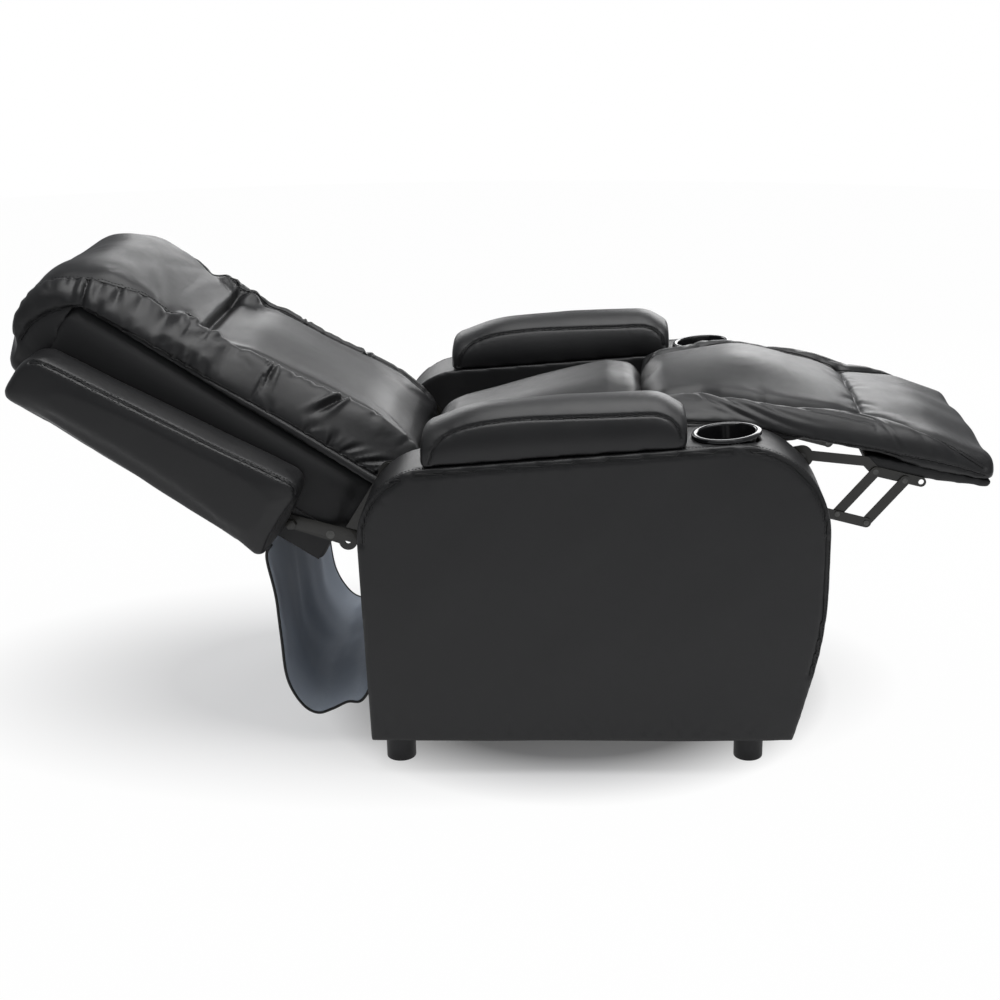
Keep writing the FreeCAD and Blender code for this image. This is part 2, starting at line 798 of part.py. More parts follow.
# seat: side rails of flat steel
seat_rail = plate(
    "SeatRail",
    3,
    [
        ("hinge", "rail_knee", "rail_half"),
        ("rail_knee", "footrest_pivot", "rail_half"),
        ("rail_lug", "crank_pivot", "lug_half"),
    ],
    [
        ("hinge", "pin_radius"),
        ("footrest_pivot", "pin_radius"),
        ("crank_pivot", "pin_radius"),
    ],
)
pair(seat_rail, "seat_rail")

# seat boards, webbing and front shelf, in the seat's own frame
rail_inner = rail_layer - size("plate_thick")
deck_low = size("seat_deck") - size("web_thick")
board_low = deck_low - size("seat_board_deep")


def on_seat(x, forward, height):
    return seat_place.multiply(at(x, -forward, height))


board_run = "Sizes.seat_board_front - Sizes.seat_board_rear"
side_board = block(
    "SeatSideBoard",
    "Sizes.seat_board_thick",
    board_run,
    "Sizes.seat_board_deep",
    on_seat(-rail_inner, size("seat_board_front"), board_low),
)
pair(side_board, "seat_side_board")
inner_half = rail_inner - size("seat_board_thick")
deck_width = "2 * (Sizes.arm_inner - 3 * (Sizes.plate_thick + Sizes.plate_gap) - Sizes.plate_thick)"
cross_width = deck_width + " - 2 * Sizes.seat_board_thick"
front_board = block(
    "SeatFrontBoard",
    cross_width,
    "Sizes.seat_board_thick",
    "Sizes.seat_board_deep",
    on_seat(-inner_half, size("seat_board_front"), board_low),
)
node(front_board, "seat_front_board")
rear_board = block(
    "SeatRearBoard",
    cross_width,
    "Sizes.seat_board_thick",
    "Sizes.seat_board_deep",
    on_seat(-inner_half, size("seat_board_rear") + size("seat_board_thick"), board_low),
)
node(rear_board, "seat_rear_board")
straps = []
strap_count = int(size("web_count"))
strap_first = size("seat_board_rear") + 44.0
strap_pitch = (size("chaise_rear") - strap_first) / (strap_count - 1)
for index in range(strap_count):
    strap = doc.addObject("Part::Box", "Strap")
    strap.setExpression("Length", deck_width)
    strap.setExpression("Width", "Sizes.web_width")
    strap.setExpression("Height", "Sizes.web_thick")
    strap.Placement = on_seat(-rail_inner, strap_first + index * strap_pitch + size("web_width"), deck_low)
    straps.append(strap)
group("seat_webbing", straps)
shelf = block(
    "SeatFrontShelf",
    deck_width,
    "Sizes.front_shelf_front - Sizes.seat_board_front",
    "Sizes.front_shelf_thick",
    on_seat(-rail_inner, size("front_shelf_front"), size("seat_deck") - size("front_shelf_thick")),
)
node(shelf, "seat_front_shelf")


# seat cushion: crowned, with rounded front and rear
def seat_outline(crown, draw):
    top = size("seat_edge_top") + crown * size("seat_crown")
    rear = -size("seat_rear") - draw
    front = -size("seat_front") + draw
    middle = (rear + front) / 2.0
    return [
        (rear, size("seat_deck"), 6),
        (rear, top, 34),
        (middle, top + 4, 700),
        (front, top, 26),
        (front, size("seat_deck"), 6),
    ]


seat_half = size("seat_half")
seat_stations = [
    (-seat_half, seat_outline(-0.45, 9)),
    (-seat_half + 9, seat_outline(0.02, 2)),
    (-seat_half * 0.78, seat_outline(0.42, 0)),
    (-seat_half * 0.4, seat_outline(0.86, 0)),
    (0, seat_outline(1.0, 0)),
    (seat_half * 0.4, seat_outline(0.86, 0)),
    (seat_half * 0.78, seat_outline(0.42, 0)),
    (seat_half - 9, seat_outline(0.02, 2)),
    (seat_half, seat_outline(-0.45, 9)),
]
node(soft("SeatCushion", seat_stations, seat_place), "seat_cushion")


# front pad of the seat: rises to a crest and meets the footrest pad at a cut over the pivot
def chaise_outline(crown, draw):
    rear = -size("chaise_rear") - draw
    crest = -size("chaise_crest")
    front = -size("chaise_split")
    lift = size("chaise_crown") * crown
    return [
        (rear, size("seat_deck"), 4),
        (rear, -4 + lift * 0.62, 22),
        (crest, -24 + lift * 0.96, 90),
        (front, -48 + lift * 0.94, 2),
        (front, size("seat_deck"), 2),
    ]


pad_half = size("back_half")
chaise_stations = [
    (-pad_half, chaise_outline(-0.2, 8)),
    (-pad_half + 9, chaise_outline(0.08, 2)),
    (-pad_half * 0.74, chaise_outline(0.5, 0)),
    (-pad_half * 0.36, chaise_outline(0.88, 0)),
    (0, chaise_outline(1.0, 0)),
    (pad_half * 0.36, chaise_outline(0.88, 0)),
    (pad_half * 0.74, chaise_outline(0.5, 0)),
    (pad_half - 9, chaise_outline(0.08, 2)),
    (pad_half, chaise_outline(-0.2, 8)),
]
node(soft("SeatFrontPad", chaise_stations, seat_place), "seat_front_pad")

# pivot pins at the front of the seat rails
swing_face = -swing_layer + size("plate_thick") + size("plate_gap")
tube_end = crank_layer - size("plate_thick")
crank_pin = rod("CrankPin", "crank_pivot", "Sizes.pin_radius", -rail_layer, -tube_end + 14)
footrest_pin = headed_pin("FootrestPin", "footrest_pivot", "pin_radius", -rail_layer, swing_face)
both_sides("front_pivot_pins", [footrest_pin, crank_pin])

# footrest: swing arms, board and pad
footrest_arm = plate(
    "FootrestArm",
    6,
    [
        ("footrest_pivot", "swing_knee", "bar_half"),
        ("swing_knee", "bracket_rear", "bar_half"),
        ("bracket_rear", "bracket_spare", "bar_half"),
    ],
    [
        ("footrest_pivot", "pin_radius"),
        ("bracket_rear", "rivet_radius"),
        ("bracket_front", "rivet_radius"),
        ("bracket_spare", "rivet_radius"),
    ],
)
pair(footrest_arm, "footrest_arm")

board_outline = [
    (size("board_rear"), size("board_rear_z"), 2),
    (size("board_rear") - 12, size("board_rear_z") - size("board_rear_deep"), 2),
    (size("board_front") + 2, size("board_front_z") - size("board_front_deep"), 4),
    (size("board_front"), size("board_front_z"), 2),
]
footrest_board = profile_body(
    "FootrestBoard",
    [board_outline],
    "-Sizes.arm_inner + 6 * (Sizes.plate_thick + Sizes.plate_gap) + Sizes.plate_thick",
    "2 * (Sizes.arm_inner - 6 * (Sizes.plate_thick + Sizes.plate_gap) - Sizes.plate_thick)",
)
node(footrest_board, "footrest_board")

pivot_y, pivot_z = spot("footrest_pivot")
board_slope = (size("board_rear_z") - size("board_front_z")) / (size("board_rear") - size("board_front"))


def pad_under(y):
    return size("board_rear_z") + board_slope * (y - size("board_rear"))


def cut_line(height):
    """A point on the cut over the footrest pivot, at a height above it."""
    lean = math.radians(size("seat_slope"))
    gap = 1.6
    return (pivot_y - gap + height * math.sin(lean), pivot_z + height * math.cos(lean))


def pad_outline(rear_height, tuft_height, swell_height, front_height, draw):
    low_y, low_z = cut_line(20.0)
    high_y, high_z = cut_line(rear_height)
    tuft = size("pad_tuft")
    front = size("pad_front") + draw
    swell = tuft * 0.5 + front * 0.5
    return [
        (low_y, pad_under(low_y), 2),
        (high_y, high_z, 3),
        (tuft, pad_under(tuft) + tuft_height, 40),
        (swell, pad_under(swell) + swell_height, 90),
        (front, pad_under(front) + front_height, 12),
        (front, pad_under(front), 4),
    ]


footrest_stations = [
    (-pad_half, pad_outline(34, 14, 18, 10, 7)),
    (-pad_half + 9, pad_outline(54, 38, 40, 28, 2)),
    (-pad_half * 0.74, pad_outline(82, 46, 51, 33, 0)),
    (-pad_half * 0.36, pad_outline(101, 49, 57, 36, 0)),
    (0, pad_outline(109, 50, 59, 37, 0)),
    (pad_half * 0.36, pad_outline(101, 49, 57, 36, 0)),
    (pad_half * 0.74, pad_outline(82, 46, 51, 33, 0)),
    (pad_half - 9, pad_outline(54, 38, 40, 28, 2)),
    (pad_half, pad_outline(34, 14, 18, 10, 7)),
]
node(soft("FootrestPad", footrest_stations, Placement()), "footrest_pad")

link_outer = -link_layer - size("plate_gap") / 2.0
link_inner = -swing_layer + size("plate_thick")
bracket_rivets = [
    rod("BracketRearRivet", "bracket_rear", "Sizes.rivet_radius", link_outer, link_inner),
    rod("BracketFrontRivet", "bracket_front", "Sizes.rivet_radius", link_outer, link_inner),
]
both_sides("footrest_rivets", bracket_rivets)

# front cranks, their cross tube and pins
front_crank = plate(
    "FrontCrank",
    4,
    [
        ("crank_pivot", "crank_end", "bar_half"),
        ("crank_pivot", "rod_lever", "lever_half"),
        ("crank_pivot", "lift_lever", "lever_half"),
    ],
    [
        ("crank_pivot", "pin_radius"),
        ("crank_mid", "rivet_radius"),
        ("crank_end", "rivet_radius"),
        ("rod_lever", "rivet_radius"),
        ("lift_lever", "rivet_radius"),
    ],
)
pair(front_crank, "front_crank")
tube_solid = doc.addObject("Part::Cylinder", "CrankTubeBar")
tube_solid.setExpression("Radius", "Sizes.tube_radius")
tube_solid.Height = 2 * tube_end
crank_y, crank_z = spot("crank_pivot")
tube_solid.Placement = Placement(Vector(-tube_end, crank_y, crank_z), Rotation(Vector(0, 1, 0), 90))
tube_bore = doc.addObject("Part::Cylinder", "CrankTubeBore")
tube_bore.setExpression("Radius", "Sizes.pin_radius + Sizes.running_clearance")
tube_bore.Height = 2 * tube_end
tube_bore.Placement = tube_solid.Placement
crank_tube = doc.addObject("Part::Cut", "CrankTube")
crank_tube.Base = tube_solid
crank_tube.Tool = tube_bore
node(crank_tube, "crank_tube")
link_gap_face = -link_layer + size("plate_thick") + size("plate_gap") / 2.0
crank_rivets = [
    rod("CrankMidRivet", "crank_mid", "Sizes.rivet_radius", -crank_layer - 1.5, link_gap_face),
    rod("CrankEndRivet", "crank_end", "Sizes.rivet_radius", -crank_layer - 1.5, link_gap_face),
]
both_sides("crank_rivets", crank_rivets)
lever_inner = -crank_layer + size("plate_thick")
rod_outer = -rod_layer - size("plate_gap") / 2.0
lift_outer = -bracket_layer - size("plate_gap") / 2.0
rod_lever_pin = rod("RodLeverPin", "rod_lever", "Sizes.rivet_radius", rod_outer, lever_inner)
lift_lever_pin = rod("LiftLeverPin", "lift_lever", "Sizes.rivet_radius", lift_outer, lever_inner)
both_sides("lever_pins", [rod_lever_pin, lift_lever_pin])

# links and rods; the drive rod and lift link have wide front eyes, where the closed linkage is opened
link_bore = "rivet_radius"
lower_link = plate(
    "LowerLink",
    5,
    [("crank_end", "bracket_front", "bar_half")],
    [("crank_end", link_bore), ("bracket_front", link_bore)],
)
both_sides("lower_links", [lower_link])
upper_link = plate(
    "UpperLink",
    5,
    [("crank_mid", "bracket_rear", "bar_half")],
    [("crank_mid", link_bore), ("bracket_rear", link_bore)],
)
both_sides("upper_links", [upper_link])
drive_rod = plate(
    "DriveRod",
    2,
    [("back_drive", "rod_lever", "bar_half"), ("rod_lever", "rod_lever", "rod_eye")],
    [("back_drive", link_bore), ("rod_lever", "rod_eye_bore")],
)
both_sides("drive_rods", [drive_rod])
lift_link = plate(
    "LiftLink",
    1,
    [("lift_base", "lift_lever", "bar_half")],
    [("lift_base", link_bore), ("lift_lever", "lift_eye_bore")],
)
both_sides("lift_links", [lift_link])

# back brackets with the drive pin and the bolts into the back posts
back_bracket = plate(
    "BackBracket",
    1,
    [
        ("hinge", "back_knee", "lug_half"),
        ("back_knee", "back_bolt", "bar_half"),
    ],
    [
        ("hinge", "pin_radius"),
        ("back_drive", "rivet_radius"),
        ("back_knee", "rivet_radius"),
        ("back_rivet", "rivet_radius"),
        ("back_bolt", "rivet_radius"),
    ],
)
pair(back_bracket, "back_bracket")
bracket_inner = -bracket_layer + size("plate_thick")
rod_inner = -rod_layer + size("plate_thick")
drive_pin = rod("DrivePin", "back_drive", "Sizes.rivet_radius", -bracket_layer, rod_inner)
bolt_face = -bracket_layer
head_face = bolt_face - size("pin_head_thick")
bolt_shank = rod("BackBoltShank", "back_bolt", "Sizes.rivet_radius", bolt_face, bracket_inner)
bolt_head = rod("BackBoltHead", "back_bolt", "Sizes.plate_bolt_head", head_face, bolt_face)
back_bolt = doc.addObject("Part::Fuse", "BackBolt")
back_bolt.Base = bolt_shank
back_bolt.Tool = bolt_head
rivet_shank = rod("BackRivetShank", "back_rivet", "Sizes.rivet_radius", bolt_face, bracket_inner)
rivet_head = rod("BackRivetHead", "back_rivet", "Sizes.plate_bolt_head", head_face, bolt_face)
back_rivet = doc.addObject("Part::Fuse", "BackRivet")
back_rivet.Base = rivet_shank
back_rivet.Tool = rivet_head
both_sides("bracket_bolts", [drive_pin, back_bolt, back_rivet])


# back frame in the back's own frame
def in_back(x, along, out):
    return back_place.multiply(at(x, along, out))


back_post = block(
    "BackPost",
    "Sizes.post_width",
    "Sizes.post_head - Sizes.post_foot",
    "Sizes.post_depth",
    in_back(-size("post_half"), size("post_foot"), size("post_rear")),
)
pair(back_post, "back_post")
between_posts = "2 * (Sizes.post_half - Sizes.post_width)"
post_inner = size("post_half") - size("post_width")
bottom_rail = block(
    "BackBottomRail",
    between_posts,
    "Sizes.cross_rail_height",
    "Sizes.post_depth",
    in_back(-post_inner, size("post_foot"), size("post_rear")),
)
node(bottom_rail, "back_bottom_rail")
head_rail = block(
    "BackTopRail",
    between_posts,
    "Sizes.cross_rail_height",
    "Sizes.post_depth",
    in_back(-post_inner, size("post_head") - size("cross_rail_height"), size("post_rear")),
)
node(head_rail, "back_top_rail")
rear_panel = block(
    "BackRearPanel",
    "2 * Sizes.post_half",
    "Sizes.post_head - Sizes.post_foot",
    "Sizes.panel_thick",
    in_back(-size("post_half"), size("post_foot"), size("post_rear") - size("panel_thick")),
)
node(rear_panel, "back_rear_panel")
post_front = size("post_rear") + size("post_depth")


# foam core with drawn-in sides
def core_outline(draw):
    return [
        (size("core_foot") + draw, post_front, 8),
        (size("core_foot") + draw, size("core_front"), 20),
        (size("core_head"), size("core_front"), 2),
        (size("core_head"), post_front, 2),
    ]


back_half = size("back_half")
core_stations = [
    (-back_half + 2, core_outline(8)),
    (-back_half + 10, core_outline(1)),
    (0, core_outline(0)),
    (back_half - 10, core_outline(1)),
    (back_half - 2, core_outline(8)),
]
node(soft("BackCore", core_stations, back_place), "back_core")


# lumbar pillow: its lower end is a roll about the hinge line
def lumbar_outline(front, draw):
    low = size("core_front")
    swell = front - low
    roll = size("lumbar_roll") - draw
    head = size("lumbar_head") - draw
    return [
        (-roll, low, 30),
        (-roll, low + swell * 0.7, 32),
        (90, low + swell * 0.9, 160),
        (head - 80, front, 110),
        (head, low + swell * 0.76, 26),
        (head, low, 8),
    ]


def shoulders(outline, crest, seam, edge):
    """Stations across the back: a near-flat middle panel, then a rounded shoulder each side."""
    half = size("back_half")
    slope = [
        (0.0, crest, 0),
        (0.36, crest - 2, 0),
        (0.64, seam, 0),
        (0.83, seam * 0.6 + edge * 0.4, 1),
        (0.955, seam * 0.22 + edge * 0.78, 4),
        (1.0, edge, 12),
    ]
    stations = []
    for share, front, draw in slope[:0:-1]:
        stations.append((-half * share, outline(front, draw)))
    for share, front, draw in slope:
        stations.append((half * share, outline(front, draw)))
    return stations


lumbar_seam = size("lumbar_seam")
lumbar_crest = lumbar_seam + size("lumbar_crown")
lumbar_stations = shoulders(lumbar_outline, lumbar_crest, lumbar_seam, size("shoulder_edge"))
node(soft("LumbarPillow", lumbar_stations, back_place), "lumbar_pillow")


# head pillow: folds over the top of the back
def head_outline(front, draw):
    low = size("core_front")
    swell = front - low
    foot = size("head_foot") + draw
    reach = size("head_reach") - draw
    brow = -52 + swell * 0.36
    return [
        (foot, low, 8),
        (foot, low + swell * 0.8, 30),
        (foot + 70, low + swell * 1.03, 90),
        (reach - 92, low + swell * 0.95, 80),
        (reach - 4, brow, 60),
        (reach - 2, -150 + draw, 34),
        (size("core_head"), -150 + draw, 6),
        (size("core_head"), low, 2),
    ]


head_seam = size("head_seam")
head_crest = head_seam + size("head_crown")
head_stations = shoulders(head_outline, head_crest, head_seam, size("shoulder_edge"))
node(soft("HeadPillow", head_stations, back_place), "head_pillow")


# side wings: thick at the foot, thin at the head
def wing_outline(draw):
    return [
        (size("wing_foot") + draw, -192 + draw, 12),
        (size("wing_foot") + 6 + draw, -67 - draw, 24),
        (size("wing_head") - draw, -108 - draw, 34),
        (size("wing_head") + 3 - draw, -177 + draw, 14),
    ]


wing_outer = size("wing_outer")
wing_stations = [
    (-wing_outer, wing_outline(9)),
    (-wing_outer + 9, wing_outline(1.5)),
    (-wing_outer + 34, wing_outline(0)),
    (-size("post_half") - 8, wing_outline(0.5)),
    (-size("post_half"), wing_outline(3)),
]
pair(soft("BackWing", wing_stations, back_place), "wing")

doc.recompute()
failed = []
for part in nodes:
    if "Invalid" in part.State or "Error" in part.State:
        failed.append(part.Label)
    elif part.Shape.isNull() or not part.Shape.isValid():
        failed.append(part.Label)
if failed:
    raise RuntimeError("these pieces have no valid shape: " + ", ".join(failed))

os.makedirs("parts", exist_ok=True)
for part in nodes:
    part.Shape.exportStep("parts/%s.step" % part.Label)
    box = part.Shape.BoundBox
    print(
        part.Label,
        len(part.Shape.Solids),
        "x %.0f %.0f y %.0f %.0f z %.0f %.0f" % (box.XMin, box.XMax, box.YMin, box.YMax, box.ZMin, box.ZMax),
        "vol %.0f" % part.Shape.Volume,
    )
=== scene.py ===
import math
import random

import bpy
import numpy as np
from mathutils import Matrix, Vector
from mathutils.bvhtree import BVHTree
from mathutils.kdtree import KDTree


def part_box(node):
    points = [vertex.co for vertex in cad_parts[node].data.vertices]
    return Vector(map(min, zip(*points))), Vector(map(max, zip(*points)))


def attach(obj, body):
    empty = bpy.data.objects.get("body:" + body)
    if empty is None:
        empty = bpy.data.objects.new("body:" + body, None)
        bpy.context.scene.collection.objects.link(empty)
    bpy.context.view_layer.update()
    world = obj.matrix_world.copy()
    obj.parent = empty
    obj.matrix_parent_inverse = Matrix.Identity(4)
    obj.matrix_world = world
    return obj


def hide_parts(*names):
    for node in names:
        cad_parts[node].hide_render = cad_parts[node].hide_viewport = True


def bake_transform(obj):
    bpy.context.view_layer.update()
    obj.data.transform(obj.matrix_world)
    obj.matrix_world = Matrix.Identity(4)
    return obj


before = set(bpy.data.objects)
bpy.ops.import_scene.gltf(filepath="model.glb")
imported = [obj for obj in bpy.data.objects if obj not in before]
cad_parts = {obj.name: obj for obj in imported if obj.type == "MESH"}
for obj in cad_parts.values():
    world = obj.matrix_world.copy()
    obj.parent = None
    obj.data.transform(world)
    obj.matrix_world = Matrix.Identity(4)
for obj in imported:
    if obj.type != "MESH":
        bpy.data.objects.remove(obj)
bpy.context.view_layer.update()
print("frame loaded with", len(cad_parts), "nodes")

# Metres, Z up, the chair faces -Y. The back and the seat have frames of their own from the hinge line.
hinge = np.array([0.0, 0.296, 0.464])
backLean = math.radians(33.0)
seatSlope = math.radians(-10.5)
armSlope = math.radians(4.5)
sides = {"right": -1.0, "left": 1.0}


def turnedX(angle):
    c, s = math.cos(angle), math.sin(angle)
    return np.array([[1.0, 0.0, 0.0], [0.0, c, -s], [0.0, s, c]])


backAxes = turnedX(backLean)
seatAxes = turnedX(seatSlope)


def fromBack(points):  # (across, along the back, out of the back) to the chair's frame
    return np.asarray(points, dtype=float) @ backAxes.T + hinge


def toBack(points):
    return (points - hinge) @ backAxes


def toSeat(points):  # (across, forward, up from the seat)
    local = (points - hinge) @ seatAxes
    return local * np.array([1.0, -1.0, 1.0])


def ramp(values, low, high):  # smooth 0 to 1 between two limits
    t = np.clip((values - low) / (high - low), 0.0, 1.0)
    return t * t * (3.0 - 2.0 * t)


def waves(points, scale, seed, count=9):  # soft uneven waves about one wavelength, from -1 to 1
    rng = np.random.default_rng(seed)
    total = np.zeros(len(points))
    for _ in range(count):
        direction = rng.normal(size=3)
        direction /= np.linalg.norm(direction)
        pitch = scale * rng.uniform(0.7, 1.5)
        total += np.sin(points @ direction * (2.0 * math.pi / pitch) + rng.uniform(0.0, 6.28))
    return total / count ** 0.5 / 1.6


# Modelling helpers

def only(piece):
    bpy.ops.object.select_all(action="DESELECT")
    piece.select_set(True)
    bpy.context.view_layer.objects.active = piece


def applyAll(piece):
    only(piece)
    for modifier in list(piece.modifiers):
        bpy.ops.object.modifier_apply(modifier=modifier.name)


def copyOf(name, *nodes):  # one mesh with the shapes of some CAD nodes
    bpy.ops.object.select_all(action="DESELECT")
    for node in nodes:
        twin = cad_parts[node].copy()
        twin.data = twin.data.copy()
        twin.parent = None
        for key in list(twin.keys()):
            del twin[key]
        bpy.context.scene.collection.objects.link(twin)
        twin.hide_set(False)
        twin.select_set(True)
        bpy.context.view_layer.objects.active = twin
    if len(nodes) > 1:
        bpy.ops.object.join()
    piece = bpy.context.view_layer.objects.active
    piece.name = name
    piece.data.name = name
    piece.data.materials.clear()
    bpy.ops.object.mode_set(mode="EDIT")
    bpy.ops.mesh.select_all(action="SELECT")
    bpy.ops.mesh.remove_doubles(threshold=0.00002)
    bpy.ops.object.mode_set(mode="OBJECT")
    return piece


def pointsOf(piece):
    flat = np.empty(len(piece.data.vertices) * 3, dtype=np.float32)
    piece.data.vertices.foreach_get("co", flat)
    return flat.reshape(-1, 3).astype(float)


def normalsOf(piece):
    flat = np.empty(len(piece.data.vertices) * 3, dtype=np.float32)
    piece.data.vertex_normals.foreach_get("vector", flat)
    return flat.reshape(-1, 3).astype(float)


def setPoints(piece, points):
    piece.data.vertices.foreach_set("co", np.asarray(points, dtype=np.float32).ravel())
    piece.data.update()


def remesh(piece, form):  # an even skin, as the piece's dictionary says
    grid = piece.modifiers.new("grid", "REMESH")
    grid.mode = "VOXEL"
    grid.voxel_size = form["voxel"]
    even = piece.modifiers.new("even", "SMOOTH")
    even.factor = 0.5
    even.iterations = form["rounds"]
    applyAll(piece)


def smoothShaded(piece):
    only(piece)
    bpy.ops.object.shade_smooth()


def finer(piece):
    fine = piece.modifiers.new("fine", "SUBSURF")
    fine.levels = 1
    fine.render_levels = 1
    applyAll(piece)


def ease(piece, rounds, weights):  # smooths where the weights are not nought
    group = piece.vertex_groups.new(name="eased")
    for level in range(1, 9):
        chosen = np.flatnonzero(np.ceil(weights * 8) == level)
        group.add(chosen.tolist(), level / 8, "REPLACE")
    soft = piece.modifiers.new("soft", "SMOOTH")
    soft.factor = 0.5
    soft.iterations = rounds
    soft.vertex_group = "eased"
    applyAll(piece)
    piece.vertex_groups.clear()


def ripple(piece, form):  # slight unevenness of stuffed leatherette
    height, scale, seed = form["ripple"]
    points = pointsOf(piece)
    setPoints(piece, points + normalsOf(piece) * (height * waves(points, scale, seed))[:, None])


def rounded(piece, width, segments):
    rounding = piece.modifiers.new("rounding", "BEVEL")
    rounding.limit_method = "ANGLE"
    rounding.width = width
    rounding.segments = segments
    applyAll(piece)


def settled(piece):  # its place and turn go into its mesh
    only(piece)
    bpy.ops.object.transform_apply(location=True, rotation=True, scale=True)


def crisp(piece):  # smooth shading with sharp edges kept
    only(piece)
    bpy.ops.object.shade_smooth_by_angle(angle=math.radians(35.0))


def newMesh(name, points, faces):
    mesh = bpy.data.meshes.new(name)
    mesh.from_pydata([tuple(point) for point in points], [], [tuple(face) for face in faces])
    mesh.update()
    piece = bpy.data.objects.new(name, mesh)
    bpy.context.scene.collection.objects.link(piece)
    return piece


def surfaceOf(piece):
    return BVHTree.FromObject(piece, bpy.context.evaluated_depsgraph_get())


# Seams: paths through a few points, laid on a surface

def curveThrough(points, step=0.003):
    points = np.asarray(points, dtype=float)
    ends = np.vstack([2 * points[0] - points[1], points, 2 * points[-1] - points[-2]])
    fine = []
    for i in range(1, len(ends) - 2):
        a, b, c, d = ends[i - 1], ends[i], ends[i + 1], ends[i + 2]
        count = max(2, int(np.linalg.norm(c - b) / step))
        t = np.linspace(0.0, 1.0, count, endpoint=False)[:, None]
        fine.append(0.5 * (2 * b + (c - a) * t + (2 * a - 5 * b + 4 * c - d) * t ** 2
                           + (3 * b - a - 3 * c + d) * t ** 3))
    fine.append(points[-1:])
    return np.vstack(fine)


def laid(piece, path):  # the nearest points and normals of the surface
    surface = surfaceOf(piece)
    places = []
    normals = []
    for point in path:
        place, normal, _, _ = surface.find_nearest(Vector(point))
        places.append(place)
        normals.append(normal)
    return np.array(places), np.array(normals)


def arcOf(path):
    return np.concatenate([[0.0], np.cumsum(np.linalg.norm(np.diff(path, axis=0), axis=1))])


def tangentsOf(path):
    along = np.gradient(path, axis=0)
    return along / np.maximum(np.linalg.norm(along, axis=1, keepdims=True), 1e-9)


def nearest(points, path, reach):
    tree = KDTree(len(path))
    for i, point in enumerate(path):
        tree.insert(point, i)
    tree.balance()
    close = np.all((points > path.min(axis=0) - reach) & (points < path.max(axis=0) + reach), axis=1)
    index = np.zeros(len(points), dtype=int)
    gap = np.full(len(points), 9.0)
    for i in np.flatnonzero(close):
        _, index[i], gap[i] = tree.find(points[i])
    return index, gap


def sew(piece, route, width, wide=None, toward=(0.0, 0.0, 1.0)):  # a furrow; route rows end with its depth
    fine = curveThrough(route)
    path, _ = laid(piece, fine[:, :3])
    points = pointsOf(piece)
    index, gap = nearest(points, path, 4 * (wide or width))
    reach = np.full(len(points), width)
    if wide:
        reach[(points - path[index]) @ np.asarray(toward, dtype=float) > 0] = wide
    depth = fine[index, 3] * np.exp(-(gap / reach) ** 2)
    setPoints(piece, points - normalsOf(piece) * depth[:, None])
    return path


def deep(route, depth):  # the same depth at each row of a route
    return [(*row, depth) for row in route]


def pinchRow(seed, start, end, pitch, depth, width, length, lean):  # the last five are ranges
    rng = random.Random(seed)
    pinches = []
    place = start + rng.uniform(0.0, pitch[0])
    while place < end:
        drawn = [rng.uniform(*limits) for limits in (depth, width, length, lean)]
        pinches.append((place, *drawn))
        place += rng.uniform(*pitch)
    return pinches


def gather(piece, path, toward, pinches, swell=0.0, swellReach=0.016):  # folds that start at a seam
    points = pointsOf(piece)
    normals = normalsOf(piece)
    reach = max([pinch[3] for pinch in pinches] + [swellReach * 4])
    index, gap = nearest(points, path, reach)
    apart = points - path[index]
    inward = apart @ np.asarray(toward, dtype=float)
    along = arcOf(path)[index] + np.einsum("ij,ij->i", apart, tangentsOf(path)[index])
    beyond = np.maximum(0.0, np.maximum(along - arcOf(path)[-1], -along))
    inside = ramp(inward, -0.001, 0.003) * (1.0 - ramp(gap, 0.4 * reach, reach))
    inside = inside * np.exp(-(beyond / 0.012) ** 2)  # fades past the ends of the seam
    height = np.interp(along, arcOf(path), swell) if np.ndim(swell) else swell
    rise = height * (gap / swellReach) * np.exp(1.0 - gap / swellReach)
    for place, depth, width, length, lean in pinches:
        across = along - place - lean * gap
        spread = width * (0.6 + 1.0 * gap / length)
        fold = np.exp(-(np.abs(across) / spread) ** 1.4)
        fold -= 0.4 * np.exp(-((np.abs(across) - 2.0 * spread) / spread) ** 2)
        rise -= depth * fold * (1.0 - ramp(gap, 0.3 * length, length))
    setPoints(piece, points + normals * (rise * inside)[:, None])


stitchForm = {"pitch": 0.0055, "length": 0.0042, "radius": 0.0006}


def stitches(name, piece, path, shift=0.0, toward=(0.0, 0.0, 1.0)):  # a row of sewn threads beside a seam
    pitch, length, radius = stitchForm["pitch"], stitchForm["length"], stitchForm["radius"]
    bpy.ops.mesh.primitive_uv_sphere_add(segments=6, ring_count=4, radius=1.0)
    bead = bpy.context.object
    beadPoints = pointsOf(bead)
    beadFaces = [tuple(face.vertices) for face in bead.data.polygons]
    bpy.data.objects.remove(bead, do_unlink=True)
    places = np.arange(pitch, arcOf(path)[-1], pitch)
    spots = np.stack([np.interp(places, arcOf(path), path[:, axis]) for axis in range(3)], axis=1)
    along = tangentsOf(spots)
    if shift:
        _, normals = laid(piece, spots)
        sideways = np.cross(normals, along)
        sideways *= np.sign(sideways @ np.asarray(toward))[:, None]
        spots = spots + sideways * shift
    spots, normals = laid(piece, spots)
    sideways = np.cross(normals, along)
    points = []
    faces = []
    for i in range(len(spots)):
        start = len(points)
        moved = spots[i] + normals[i] * radius * 0.3
        moved = moved + np.outer(beadPoints[:, 2], along[i]) * (length / 2)
        thickness = np.outer(beadPoints[:, 0], normals[i]) * radius
        moved = moved + thickness + np.outer(beadPoints[:, 1], sideways[i]) * radius
        points.extend(moved)
        faces.extend(tuple(start + corner for corner in face) for face in beadFaces)
    row = newMesh(name, points, faces)
    smoothShaded(row)
    return row


